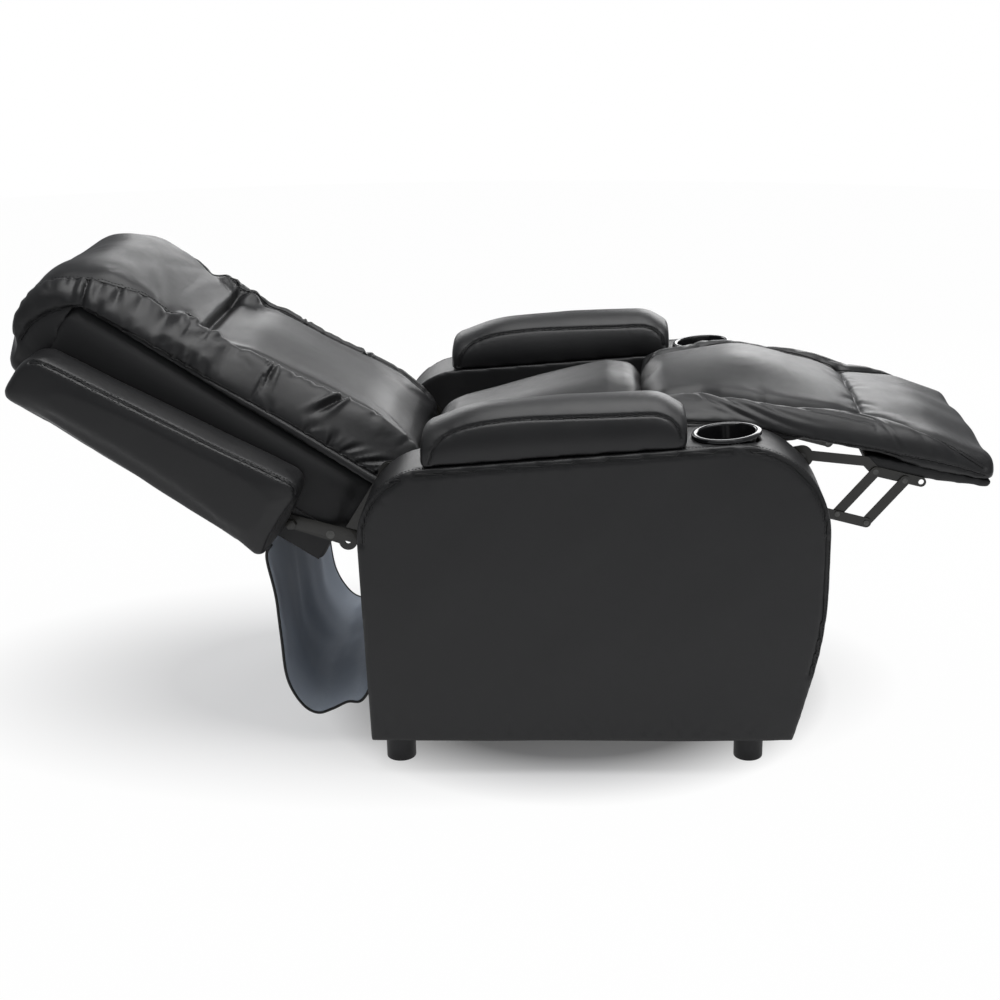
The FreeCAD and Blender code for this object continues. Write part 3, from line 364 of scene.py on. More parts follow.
# Painted shade: along the seams this cord, dressed in the dark thread, draws the shadow line of the seam's
# furrow; along the flap's edges it is the black binding.
def welt(name, piece, path, radius, sink=0.4, ring=8):  # a thin round edge along a laid path
    places, normals = laid(piece, path)
    along = tangentsOf(places)
    sideways = np.cross(normals, along)
    middle = places + normals * radius * sink
    points = []
    faces = []
    for i in range(len(middle)):
        for j in range(ring):
            angle = 2 * math.pi * j / ring
            offset = normals[i] * math.cos(angle) * radius
            points.append(middle[i] + offset + sideways[i] * math.sin(angle) * radius)
            if i + 1 < len(middle):
                nextUp = (j + 1) % ring
                faces.append((i * ring + j, i * ring + nextUp, (i + 1) * ring + nextUp, (i + 1) * ring + j))
    last = (len(middle) - 1) * ring
    faces.append(tuple(range(ring - 1, -1, -1)))
    faces.append(tuple(last + j for j in range(ring)))
    edge = newMesh(name, points, faces)
    smoothShaded(edge)
    return edge


def joined(name, pieces):
    bpy.ops.object.select_all(action="DESELECT")
    for piece in pieces:
        piece.select_set(True)
    bpy.context.view_layer.objects.active = pieces[0]
    if len(pieces) > 1:
        bpy.ops.object.join()
    whole = bpy.context.view_layer.objects.active
    whole.name = name
    whole.data.name = name
    return whole


# Filling: cloth under pressure, all the cushions in one run

filled = []
cushionCloth = {
    "quality": 4,
    "mass": 0.3,
    "tension_stiffness": 12.0,
    "compression_stiffness": 12.0,
    "shear_stiffness": 4.0,
    "bending_stiffness": 0.4,
    "air_damping": 2.0,
    "use_pressure": True,
}


def fill(piece, held, form):  # the held points stay, and no other moves more than the cap
    setPoints(piece, pointsOf(piece) - normalsOf(piece) * form["shrink"])
    group = piece.vertex_groups.new(name="held")
    group.add(np.flatnonzero(held).tolist(), 1.0, "REPLACE")
    cloth = piece.modifiers.new("fill", "CLOTH")
    cloth.settings.vertex_group_mass = "held"
    for key, value in cushionCloth.items():
        setattr(cloth.settings, key, value)
    cloth.settings.uniform_pressure_force = form["pressure"]
    cloth.settings.effector_weights.gravity = 0.0
    cloth.collision_settings.use_collision = False
    filled.append((piece, pointsOf(piece), form["cap"]))


def runFilling():
    scene = bpy.context.scene
    for step in range(1, 21):
        scene.frame_set(step)
    for piece, before, cap in filled:
        applyAll(piece)
        move = pointsOf(piece) - before
        reach = np.linalg.norm(move, axis=1)
        setPoints(piece, before + move * np.minimum(1.0, cap / np.maximum(reach, 1e-9))[:, None])
        piece.vertex_groups.clear()
        print("filled", piece.name, "by up to", round(float(reach.max()) * 1000, 1), "mm")
    scene.frame_set(1)


# Materials

class Wire:
    def __init__(self, graph, socket):
        self.graph = graph
        self.socket = socket

    def maths(self, operation, other, swap=False):
        first, second = (other, self) if swap else (self, other)
        return self.graph.node("ShaderNodeMath", {"operation": operation}, {0: first, 1: second})

    def __add__(self, other):
        return self.maths("ADD", other)

    def __radd__(self, other):
        return self.maths("ADD", other, True)

    def __mul__(self, other):
        return self.maths("MULTIPLY", other)

    def __rmul__(self, other):
        return self.maths("MULTIPLY", other, True)


class Graph:
    def __init__(self, owner):
        owner.use_nodes = True
        self.tree = owner.node_tree
        self.tree.nodes.clear()

    def pick(self, sockets, key):  # by number, or the one in use by that name
        if isinstance(key, int):
            return sockets[key]
        return [socket for socket in sockets if socket.name == key and socket.enabled][0]

    def node(self, kind, settings, links, output=0):
        made = self.tree.nodes.new(kind)
        for key, value in settings.items():
            setattr(made, key, value)
        for key, value in links.items():
            socket = self.pick(made.inputs, key)
            if isinstance(value, Wire):
                self.tree.links.new(value.socket, socket)
            else:
                socket.default_value = value
        return Wire(self, self.pick(made.outputs, output))

    def place(self):
        return self.node("ShaderNodeTexCoord", {}, {}, "Object")

    def noise(self, scale, detail=3.0, place=None):
        links = {"Vector": place or self.place(), "Scale": scale, "Detail": detail}
        return self.node("ShaderNodeTexNoise", {}, links, 0)

    def between(self, value, low, high, start, end):
        links = {"Value": value, "From Min": low, "From Max": high, "To Min": start, "To Max": end}
        return self.node("ShaderNodeMapRange", {}, links, 0)

    def blend(self, factor, first, second):
        links = {"Factor": factor, "A": first, "B": second}
        return self.node("ShaderNodeMix", {"data_type": "RGBA"}, links, "Result")

    def bump(self, strength, distance, height):
        links = {"Strength": strength, "Distance": distance, "Height": height}
        return self.node("ShaderNodeBump", {}, links, "Normal")

    def close(self, shader):
        end = self.tree.nodes.new("ShaderNodeOutputMaterial")
        self.tree.links.new(shader.socket, end.inputs["Surface"])


def surface(graph, **values):
    links = {key.replace("_", " "): value for key, value in values.items()}
    return graph.node("ShaderNodeBsdfPrincipled", {}, links, "BSDF")


def leatherette(name, low, high, rough):
    material = bpy.data.materials.new(name)
    graph = Graph(material)
    grainLinks = {"Vector": graph.place(), "Scale": 620.0}
    grain = graph.node("ShaderNodeTexVoronoi", {"feature": "DISTANCE_TO_EDGE"}, grainLinks)
    cells = graph.between(grain, 0.0, 0.18, 0.0, 1.0)
    fine = graph.noise(900.0, 2.0)
    cloud = graph.noise(9.0, 3.0)
    scuff = graph.noise(60.0, 4.0)
    colour = graph.blend(graph.between(cloud, 0.3, 0.7, 0.0, 1.0), (*low, 1.0), (*high, 1.0))
    roughness = graph.between(cloud * 0.6 + scuff * 0.4, 0.3, 0.7, rough - 0.04, rough + 0.05)
    relief = cells * 0.7 + fine * 0.3
    bump = graph.bump(0.16, 0.0006, relief)
    graph.close(surface(graph, Base_Color=colour, Roughness=roughness, Normal=bump))
    return material


def plainSurface(name, low, high, rough, metallic=0.0, scale=40.0, coat=0.0):
    material = bpy.data.materials.new(name)
    graph = Graph(material)
    cloud = graph.between(graph.noise(scale, 4.0), 0.3, 0.7, 0.0, 1.0)
    fine = graph.noise(scale * 12.0, 3.0)
    colour = graph.blend(cloud, (*low, 1.0), (*high, 1.0))
    roughness = graph.between(fine, 0.3, 0.7, rough - 0.05, rough + 0.05)
    bump = graph.bump(0.05, 0.0005, fine)
    graph.close(surface(graph, Base_Color=colour, Roughness=roughness, Metallic=metallic, Coat_Weight=coat,
                        Normal=bump))
    return material


def woven(name, low, high, pitch):
    material = bpy.data.materials.new(name)
    graph = Graph(material)
    place = graph.place()
    over = graph.node("ShaderNodeTexWave", {"bands_direction": "X"}, {"Vector": place, "Scale": 1.0 / pitch})
    under = graph.node("ShaderNodeTexWave", {"bands_direction": "Z"}, {"Vector": place, "Scale": 1.0 / pitch})
    weave = over * under
    cloud = graph.noise(14.0, 3.0)
    shade = graph.between(cloud * 0.7 + weave * 0.3, 0.2, 0.8, 0.0, 1.0)
    colour = graph.blend(shade, (*low, 1.0), (*high, 1.0))
    bump = graph.bump(0.2, 0.0005, weave)
    graph.close(surface(graph, Base_Color=colour, Roughness=0.75, Normal=bump))
    return material


def boards(name, low, high):
    material = bpy.data.materials.new(name)
    graph = Graph(material)
    stretch = {"Vector": graph.place(), "Scale": (6.0, 60.0, 60.0)}
    stretched = graph.node("ShaderNodeMapping", {}, stretch, "Vector")
    grain = graph.noise(1.0, 5.0, stretched)
    colour = graph.blend(graph.between(grain, 0.35, 0.65, 0.0, 1.0), (*low, 1.0), (*high, 1.0))
    graph.close(surface(graph, Base_Color=colour, Roughness=0.7))
    return material


leather = leatherette("leatherette", (0.012, 0.012, 0.0128), (0.016, 0.016, 0.0168), 0.40)
# Painted shade: a darker, duller copy of the leatherette for the back's side panels, the footrest board's
# wrap and the back's rear parts, which lie in shade.
shadedLeather = leatherette("gusset leatherette", (0.010, 0.010, 0.0108), (0.014, 0.014, 0.0148), 0.52)
# The thread also dresses the seam cords, which are painted shade along the seams.
thread = plainSurface("thread", (0.006, 0.006, 0.0065), (0.010, 0.010, 0.0105), 0.55, scale=300.0)
# Painted light: the lining's own colour is a dark grey-blue, lightened here to stand in for the sheen and the
# light coming through the cloth from behind.
lining = woven("lining cloth", (0.43, 0.48, 0.56), (0.54, 0.60, 0.68), 0.0016)
webbing = woven("webbing", (0.02, 0.02, 0.022), (0.05, 0.05, 0.05), 0.003)
steel = plainSurface("painted steel", (0.015, 0.0145, 0.012), (0.024, 0.0225, 0.018), 0.34,
                     scale=30.0, coat=0.3)
zinc = plainSurface("zinc steel", (0.09, 0.09, 0.087), (0.14, 0.14, 0.136), 0.36, metallic=1.0, scale=120.0)
gloss = plainSurface("gloss plastic", (0.008, 0.008, 0.009), (0.011, 0.011, 0.012), 0.13,
                     scale=20.0, coat=0.4)
footPlastic = plainSurface("foot plastic", (0.016, 0.016, 0.017), (0.022, 0.022, 0.024), 0.45, scale=80.0)
wood = boards("frame wood", (0.32, 0.21, 0.11), (0.46, 0.32, 0.18))
print("materials made")


def dress(piece, material, body=None):
    piece.data.materials.clear()
    piece.data.materials.append(material)
    if body:
        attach(piece, body)


# Arms: one upholstered cover each, with the cup opening, seams at the outer edge and a pulled hem

armForm = {
    "inner": 0.2555,
    "outer": 0.390,
    "panelIn": 0.378,  # inner face of the outer panel
    "voxel": 0.0042,
    "rounds": 4,
    "hemDrop": 0.005,
    "hemHeight": 0.070,
    "crown": 0.0035,
    "seamInset": 0.007,
    "seamDepth": 0.0046,
    "seamWidth": 0.0034,
    # folds: pitch, depth, width, length, lean
    "hemFolds": ((0.014, 0.04), (0.0008, 0.0022), (0.004, 0.008), (0.018, 0.045), (-0.4, 0.4)),
    "edgeFolds": ((0.03, 0.07), (0.0003, 0.0008), (0.004, 0.007), (0.012, 0.03), (-0.3, 0.3)),
    "hole": 0.0500,
    "cupX": 0.3225,
    "cupY": -0.237,
}


def armOutline(side):  # the rim of the outer panel, in order round the arm
    points = pointsOf(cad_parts[side + "_arm_outer_panel"])
    rim = points[np.abs(np.abs(points[:, 0]) - armForm["panelIn"]) < 0.0005]
    rim = np.unique(np.round(rim[:, 1:], 5), axis=0)
    middle = np.array([-0.03, 0.20])
    angle = np.arctan2(rim[:, 1] - middle[1], rim[:, 0] - middle[0])
    rim = rim[np.argsort(angle)]
    return rim


def makeArm(side):
    sign = sides[side]
    cover = copyOf(side + "ArmCover", side + "_arm_outer_panel")
    points = pointsOf(cover)
    inner = np.abs(points[:, 0]) < armForm["panelIn"] + 0.0005
    points[inner, 0] = sign * armForm["inner"]
    points[points[:, 2] < 0.066, 2] -= armForm["hemDrop"]
    setPoints(cover, points)
    _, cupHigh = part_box(side + "_cup_holder")
    cupTop = cupHigh[2] - 0.010
    bpy.ops.object.select_all(action="DESELECT")
    bpy.ops.mesh.primitive_cylinder_add(vertices=64, radius=armForm["hole"], depth=0.24)
    drill = bpy.context.object
    drill.rotation_euler = (-armSlope, 0.0, 0.0)
    drill.location = (sign * armForm["cupX"], armForm["cupY"], cupTop)
    cut = cover.modifiers.new("cut", "BOOLEAN")
    cut.operation = "DIFFERENCE"
    cut.object = drill
    applyAll(cover)
    bpy.data.objects.remove(drill, do_unlink=True)
    remesh(cover, armForm)
    rim = armOutline(side)
    upper = rim[rim[:, 1] > 0.08]
    start = int(np.argmax(np.linalg.norm(np.diff(upper, axis=0, append=upper[:1]), axis=1))) + 1
    upper = np.roll(upper, -start, axis=0)
    direction = tangentsOf(upper)
    inset = upper + armForm["seamInset"] * np.column_stack([-direction[:, 1], direction[:, 0]])
    edge = np.column_stack([np.full(len(upper), sign * armForm["outer"]), inset])
    bandLine = np.column_stack([np.full(len(upper), sign * armForm["panelIn"]), upper])
    points = pointsOf(cover)
    normals = normalsOf(cover)
    _, gap = nearest(points, np.column_stack([np.full(len(rim), sign * armForm["outer"]), rim]), 0.4)
    gap = np.minimum(gap, 0.4)
    facing = ramp(normals[:, 0] * sign, 0.5, 0.95)
    bulge = armForm["crown"] * (1.0 - np.exp(-gap / 0.04))
    bulge = bulge + 0.0011 * waves(points, 0.16, 11) * ramp(gap, 0.0, 0.05)
    setPoints(cover, points + normals * (bulge * facing)[:, None])
    seam = sew(cover, deep(edge[::3], armForm["seamDepth"]), armForm["seamWidth"])
    topLine = sew(cover, deep(bandLine[::3], 0.0018), 0.0028)
    hem = curveThrough([(sign * armForm["outer"], y, armForm["hemHeight"]) for y in (0.318, -0.02, -0.342)])
    gather(cover, hem, (0, 0, 1), pinchRow(5 + (side == "left"), 0.01, 0.65, *armForm["hemFolds"]))
    gather(cover, seam, (0, 0, -1), pinchRow(9, 0.02, 1.6, *armForm["edgeFolds"]))
    smoothShaded(cover)
    rows = [
        stitches(side + "ArmStitchTop", cover, topLine),
        stitches(side + "ArmStitchFace", cover, seam, 0.0045, (0, 0, -1)),
    ]
    rows.append(welt(side + "ArmSeam", cover, seam, 0.0012, sink=0.1))
    sewn = joined(side + "ArmStitching", rows)
    dress(cover, leather, "base")
    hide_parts(side + "_arm_outer_panel", side + "_arm_inner_panel", side + "_arm_band")
    dress(sewn, thread, "base")
    print(side, "arm covered with", len(cover.data.vertices), "points")


# Arm pillows: side panels sewn into a wrapped top

pillowSeam = [(0.3865, 0.221, 0.520), (0.386, 0.218, 0.532), (0.381, 0.210, 0.545), (0.373, 0.196, 0.557),
              (0.370, 0.158, 0.572), (0.371, 0.081, 0.585), (0.374, 0.020, 0.589), (0.376, -0.070, 0.593),
              (0.376, -0.128, 0.594), (0.380, -0.153, 0.583), (0.386, -0.164, 0.560), (0.3865, -0.166, 0.548)]
pillowForm = {
    "voxel": 0.0048,
    "rounds": 3,
    "rearRise": 0.20,  # share of its height, before the filling
    "rearDroop": 0.22,
    "twin": 0.645,  # a seam and its twin lie this far off the middle together
    "pressure": 4.0,
    "cap": 0.008,
    "shrink": 0.001,
    "seamDepth": 0.0034,
    "seamWidth": 0.0030,
    "startFolds": ((0.018, 0.03), (0.0001, 0.0004), (0.004, 0.006), (0.012, 0.025), (-0.5, 0.5)),
    "endFolds": ((0.018, 0.03), (0.0002, 0.0006), (0.004, 0.006), (0.012, 0.025), (-0.5, 0.5)),
    "ripple": (0.0006, 0.14, 8),  # height, wavelength, seed
}


def pillowBase(y):  # the sloping top of the arm
    return 0.5028 + (0.3395 - y) * math.tan(armSlope)


def makePillow(side):
    sign = sides[side]
    pillow = copyOf(side + "ArmPillow", side + "_arm_pillow")
    points = pointsOf(pillow)
    base = pillowBase(points[:, 1])
    rear = ramp(points[:, 1], -0.02, 0.20)
    points[:, 2] = base + (points[:, 2] - base) * (1.0 + pillowForm["rearRise"] * rear)
    points[:, 1] += 0.010 * ramp(points[:, 1], 0.10, 0.21) - 0.004 * ramp(-points[:, 1], 0.08, 0.15)
    setPoints(pillow, points)
    remesh(pillow, pillowForm)
    points = pointsOf(pillow)
    base = pillowBase(points[:, 1])
    points[:, 2] -= (points[:, 2] - base) * pillowForm["rearDroop"] * ramp(points[:, 1], 0.10, 0.235) ** 2
    setPoints(pillow, points)
    loops = []
    for flip in (False, True):
        route = [(sign * (pillowForm["twin"] - x if flip else x), y, z) for x, y, z in pillowSeam]
        loops.append(laid(pillow, curveThrough(route, 0.004))[0])
    _, gap = nearest(points, np.vstack(loops), 0.05)
    under = normalsOf(pillow)[:, 2] < -0.5
    fill(pillow, (gap < 0.004) | under, pillowForm)
    return pillow, loops


def finishPillow(side, pillow, loops):
    sign = sides[side]
    finer(pillow)
    rows = []
    for number, loop in enumerate(loops):
        out = sign if number == 0 else -sign
        seam = sew(pillow, deep(loop[::4], pillowForm["seamDepth"]), pillowForm["seamWidth"])
        length = arcOf(seam)[-1]
        ends = pinchRow(21 + number, 0.03, 0.09, *pillowForm["startFolds"])
        ends += pinchRow(31 + number, length - 0.09, length - 0.03, *pillowForm["endFolds"])
        gather(pillow, seam, (-out, 0, 0.3), ends)
        gather(pillow, seam, (out, 0, -0.3), ends)
        rows.append(stitches("row", pillow, seam, 0.0045, (-out, 0, 0.5)))
        rows.append(welt("row", pillow, seam, 0.0009, sink=0.1))
    ripple(pillow, pillowForm)
    smoothShaded(pillow)
    sewn = joined(side + "PillowStitching", rows)
    dress(pillow, leather, "base")
    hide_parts(side + "_arm_pillow")
    dress(sewn, thread, "base")


# Back cushion: head and lumbar pillows with smooth middle panels and gathered side bands

# rows: across, along, out, depth of the furrow and swell of the band beside it
upperSeam = [(0.155, -0.040, 0.022, 0.006, 0.003), (0.158, 0.000, 0.042, 0.008, 0.005),
             (0.158, 0.073, 0.044, 0.009, 0.006), (0.160, 0.165, 0.040, 0.010, 0.006),
             (0.163, 0.222, 0.037, 0.010, 0.006), (0.165, 0.262, 0.036, 0.010, 0.006),
             (0.168, 0.300, 0.032, 0.009, 0.005), (0.168, 0.345, 0.028, 0.005, 0.003),
             (0.165, 0.380, 0.028, 0.004, 0.003), (0.170, 0.420, 0.026, 0.003, 0.003),
             (0.180, 0.475, 0.022, 0.0025, 0.003), (0.192, 0.525, 0.010, 0.0025, 0.003),
             (0.195, 0.570, -0.006, 0.0025, 0.003), (0.198, 0.600, -0.030, 0.0025, 0.003),
             (0.205, 0.622, -0.070, 0.0020, 0.001), (0.210, 0.626, -0.115, 0.0, 0.0)]
lowerSeam = [(0.225, -0.035, -0.020), (0.227, 0.046, -0.022), (0.229, 0.109, -0.022), (0.231, 0.174, -0.022),
             (0.233, 0.240, -0.024), (0.235, 0.319, -0.028), (0.235, 0.380, -0.030), (0.236, 0.431, -0.030),
             (0.236, 0.480, -0.034), (0.236, 0.535, -0.039), (0.238, 0.558, -0.047), (0.242, 0.579, -0.065),
             (0.246, 0.596, -0.098), (0.246, 0.600, -0.131)]
# folds of the band: along the back, depth, width, length, lean
bandFolds = [(-0.004, 0.002, 0.006, 0.04, 0.3), (0.060, 0.002, 0.005, 0.03, 0.5),
             (0.120, 0.011, 0.006, 0.08, 0.65), (0.170, 0.002, 0.006, 0.03, 0.3),
             (0.205, 0.0025, 0.005, 0.03, 0.4), (0.246, 0.005, 0.004, 0.09, 0.0),
             (0.300, 0.002, 0.008, 0.04, 0.4), (0.336, 0.0025, 0.009, 0.05, 0.5),
             (0.358, 0.005, 0.008, 0.075, 0.35), (0.380, 0.0035, 0.008, 0.06, 0.0),
             (0.404, 0.0030, 0.009, 0.07, -0.4), (0.438, 0.002, 0.008, 0.05, -0.3),
             (0.478, 0.0025, 0.008, 0.06, 0.1), (0.514, 0.004, 0.006, 0.06, 0.1),
             (0.540, 0.0025, 0.006, 0.05, 0.1), (0.562, 0.007, 0.005, 0.08, 0.0),
             (0.578, 0.003, 0.005, 0.05, 0.1)]
# folds that rise from the lower seam
hemFolds = [(0.022, 0.006, 0.006, 0.05, -2.0), (0.055, 0.005, 0.006, 0.045, -1.5),
            (0.085, 0.004, 0.005, 0.04, -0.8), (0.106, 0.004, 0.005, 0.035, 0.0),
            (0.150, 0.003, 0.006, 0.03, -0.4), (0.215, 0.002, 0.006, 0.025, 0.3),
            (0.330, 0.003, 0.006, 0.03, 0.3), (0.360, 0.004, 0.006, 0.04, 0.1),
            (0.385, 0.003, 0.006, 0.035, -0.2), (0.420, 0.003, 0.006, 0.03, -0.2),
            (0.470, 0.002, 0.006, 0.03, 0.0), (0.520, 0.003, 0.006, 0.03, 0.2)]
backForm = {
    "voxel": 0.0062,
    "rounds": 5,
    "crown": 0.009,
    "tuck": 0.372,  # where the pillows meet, along the back
    "tuckDepth": 0.024,
    # how far the middle panels lie below the flat front, along the back
    "sinkPlaces": [-0.050, 0.045, 0.190, 0.335, 0.366, 0.386, 0.430, 0.500, 0.545, 0.590, 0.630],
    "sink": [0.000, 0.003, 0.020, 0.038, 0.034, 0.010, 0.014, 0.020, 0.012, 0.000, -0.004],
    # how far the side bands stand above it
    "liftPlaces": [-0.05, 0.0, 0.05, 0.12, 0.20, 0.28, 0.33],
    "lift": [0.012, 0.024, 0.026, 0.018, 0.009, 0.005, 0.0],
    # height of the bands over the joint of the two pillows, across the back
    "bridgePlaces": [0.14, 0.165, 0.20, 0.225, 0.236],
    "bridge": [0.024, 0.032, 0.018, -0.004, -0.030],
    "pressure": 3.0,
    "cap": 0.008,
    "shrink": 0.002,
    "bandJoin": [(0.168, 0.256, 0.034), (0.205, 0.251, 0.006), (0.231, 0.247, -0.020)],
    "headFolds": ((0.020, 0.030), (0.0010, 0.0018), (0.004, 0.006), (0.03, 0.05), (-0.3, 0.3)),
    "headTucks": ((0.03, 0.05), (0.001, 0.002), (0.004, 0.007), (0.02, 0.03), (-0.4, 0.3)),
    "ripple": (0.0008, 0.2, 4),
}


def backRoute(route, sign):
    rows = np.asarray(route, dtype=float)
    placed = fromBack(rows[:, :3] * np.array([sign, 1.0, 1.0]))
    return np.hstack([placed, rows[:, 3:]])


def makeBack():
    cushion = copyOf("lowerHalf", "lumbar_pillow")
    local = toBack(pointsOf(cushion))
    local[:, 1] += 0.014 * ramp(local[:, 1], 0.30, 0.37)
    setPoints(cushion, fromBack(local))
    upper = copyOf("upperHalf", "head_pillow")
    local = toBack(pointsOf(upper))
    inner = (local[:, 2] < -0.035) & (local[:, 1] < 0.581)
    local[inner, 1] -= 0.022
    local[:, 2] -= 0.010 * ramp(local[:, 2], -0.02, 0.03) * ramp(-local[:, 1], -0.50, -0.42)
    local[:, 2] -= 0.042 * ramp(-local[:, 2], 0.06, 0.14) * ramp(local[:, 1], 0.574, 0.592)
    local[:, 1] -= 0.024 * ramp(-local[:, 2], 0.10, 0.17)
    local[:, 0] *= 1.0 + 0.045 * ramp(-local[:, 2], 0.04, 0.09)
    setPoints(upper, fromBack(local))
    cushion = joined("backCushion", [cushion, upper])
    remesh(cushion, backForm)
    local = toBack(pointsOf(cushion))
    across, along, out = local.T
    aside = np.abs(across)
    sink = np.interp(along, backForm["sinkPlaces"], backForm["sink"]) * ramp(0.190 - aside, 0.0, 0.06)
    lift = np.interp(along, backForm["liftPlaces"], backForm["lift"]) * ramp(aside, 0.10, 0.16)
    crown = backForm["crown"] * np.maximum(0.0, 1.0 - (across / 0.15) ** 2)
    crown = crown * ramp(along, 0.0, 0.08) * ramp(-along, -0.36, -0.31)
    over = np.exp(-((along - 0.405) / 0.03) ** 2) * ramp(0.170 - aside, 0.0, 0.05)
    local[:, 2] += (lift + crown - sink) * ramp(out, -0.02, 0.02)
    local[:, 1] -= 0.023 * over * ramp(out, 0.0, 0.03)
    bridge = np.interp(aside, backForm["bridgePlaces"], backForm["bridge"])
    joint = ramp(aside, 0.130, 0.158) * ramp(along, 0.31, 0.345) * ramp(-along, -0.435, -0.405)
    joint = joint * (out > -0.034)
    local[:, 2] += joint * np.maximum(0.0, bridge - local[:, 2])
    setPoints(cushion, fromBack(local))
    local = toBack(pointsOf(cushion))
    seams = []
    for sign in (-1.0, 1.0):
        for route in (upperSeam, lowerSeam):
            seams.append(laid(cushion, curveThrough(backRoute(route, sign)[:, :3], 0.005))[0])
    _, gap = nearest(pointsOf(cushion), np.vstack(seams), 0.02)
    hidden = (local[:, 2] < -0.036) & (local[:, 1] < 0.56)
    fill(cushion, (gap < 0.005) | hidden, backForm)
    return cushion


def finishBack(cushion):
    local = toBack(pointsOf(cushion))
    panel = ramp(0.158 - np.abs(local[:, 0]), 0.0, 0.03) * ramp(local[:, 2], -0.03, 0.0)
    panel = panel * ramp(np.abs(local[:, 1] - backForm["tuck"]), 0.01, 0.03)
    ease(cushion, 14, panel)
    finer(cushion)
    points = pointsOf(cushion)
    local = toBack(points)
    middle = ramp(-np.abs(local[:, 0]), -0.19, -0.15)
    outward = ramp(local[:, 2], -0.035, -0.015)
    tuck = np.exp(-(np.abs(local[:, 1] - backForm["tuck"]) / 0.008) ** 1.5)
    local[:, 2] -= backForm["tuckDepth"] * middle * tuck * outward
    setPoints(cushion, fromBack(local))
    rows = []
    for side, sign in sides.items():
        seed, firm = (60, 1.0) if side == "right" else (80, 0.55)
        route = backRoute(upperSeam, sign)
        outSide = backAxes @ np.array([sign, 0.0, -0.6])
        upper = sew(cushion, route, 0.0045, 0.013, -outSide)
        lower = sew(cushion, backRoute(deep(lowerSeam, 0.0035), sign), 0.0030)
        arc = arcOf(upper)
        alongBack = toBack(upper)[:, 1]
        folds = [(float(np.interp(s, alongBack, arc)), firm * depth, *rest) for s, depth, *rest in bandFolds]
        headStart = float(np.interp(0.585, alongBack, arc))
        folds += pinchRow(seed, headStart, arc[-1], *backForm["headFolds"])
        swell = np.interp(arc, np.linspace(0.0, arc[-1], len(curveThrough(route))), curveThrough(route)[:, 4])
        gather(cushion, upper, outSide, folds, firm * swell)
        lowArc = arcOf(lower)
        tucks = [(float(np.interp(s, toBack(lower)[:, 1], lowArc)), *rest) for s, *rest in hemFolds]
        tucks += pinchRow(seed + 7, 0.58, lowArc[-1], *backForm["headTucks"])
        gather(cushion, lower, backAxes @ np.array([-sign * 0.2, 0.0, 1.0]), tucks, 0.002)
        join = sew(cushion, backRoute(deep(backForm["bandJoin"], 0.003), sign), 0.003)
        rows.append(stitches("row", cushion, upper, 0.006, backAxes @ np.array([-sign, 0.0, 0.2])))
        rows.append(stitches("row", cushion, join, 0.004, backAxes @ np.array([0.0, 1.0, 0.0])))
        rows.append(welt("row", cushion, lower, 0.0012, sink=0.2))
        rows.append(welt("row", cushion, upper, 0.0010, sink=0.1))
    ripple(cushion, backForm)
    smoothShaded(cushion)
    sewn = joined("backStitching", rows)
    dress(cushion, leather, "back")
    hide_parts("head_pillow", "lumbar_pillow")
    dress(sewn, thread, "back")


# The upholstered box of the back behind its cushion, and its lower end at the hinge

boxForm = {
    "voxel": 0.0075,
    "rounds": 5,
    # half width front and rear, foot front and rear, head, front, rear, rounding
    "blocks": [
        ((0.2130, 0.2360), (0.040, 0.034), 0.566, -0.030, -0.062, 0.012),
        ((0.2370, 0.2500), (0.034, 0.014), 0.566, -0.056, -0.196, 0.012),
        ((0.2120, 0.2335), (-0.046, -0.050), 0.100, -0.028, -0.060, 0.028),
        ((0.2335, 0.2335), (-0.050, -0.046), 0.100, -0.054, -0.142, 0.028),
    ],
    "rearSwell": 0.006,
    "rearSeam": [(-0.215, 0.06, -0.200), (-0.215, 0.53, -0.200), (0.215, 0.53, -0.200),
                 (0.215, 0.06, -0.200)],
}


def makeShell():
    parts = []
    for half, foot, head, frontFace, rearFace, rounding in boxForm["blocks"]:
        bpy.ops.object.select_all(action="DESELECT")
        bpy.ops.mesh.primitive_cube_add(size=1.0)
        block = bpy.context.object
        points = pointsOf(block)
        front = points[:, 2] > 0
        top = points[:, 1] > 0
        local = np.zeros_like(points)
        local[:, 0] = np.sign(points[:, 0]) * np.where(front, half[0], half[1])
        local[:, 1] = np.where(top, head, np.where(front, foot[0], foot[1]))
        local[:, 2] = np.where(front, frontFace, rearFace)
        setPoints(block, fromBack(local))
        rounded(block, rounding, 3)
        parts.append(block)
    shell = joined("backShell", parts)
    remesh(shell, boxForm)
    points = pointsOf(shell)
    local = toBack(points)
    rearward = ramp(-local[:, 2], 0.17, 0.19) * ramp(0.22 - np.abs(local[:, 0]), 0.0, 0.05)
    rearward = rearward * ramp(local[:, 1], 0.03, 0.09) * ramp(-local[:, 1], -0.56, -0.50)
    swell = boxForm["rearSwell"] * rearward + 0.0008 * waves(points, 0.15, 14)
    setPoints(shell, points + normalsOf(shell) * swell[:, None])
    finer(shell)
    rows = []
    for start, end in zip(boxForm["rearSeam"][:-1], boxForm["rearSeam"][1:]):
        line = fromBack(np.linspace(start, end, 6))
        seam = sew(shell, deep(line, 0.0025), 0.003)
        rows.append(stitches("row", shell, seam, 0.006, backAxes @ np.array([0.001, 1.0, 0.0])))
        rows.append(welt("row", shell, seam, 0.0009, sink=0.1))
    smoothShaded(shell)
    sewn = joined("shellStitching", rows)
    dress(shell, shadedLeather, "back")
    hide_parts("back_core")
    dress(sewn, thread, "back")
    print("back shell made")


# Wings at the sides of the back

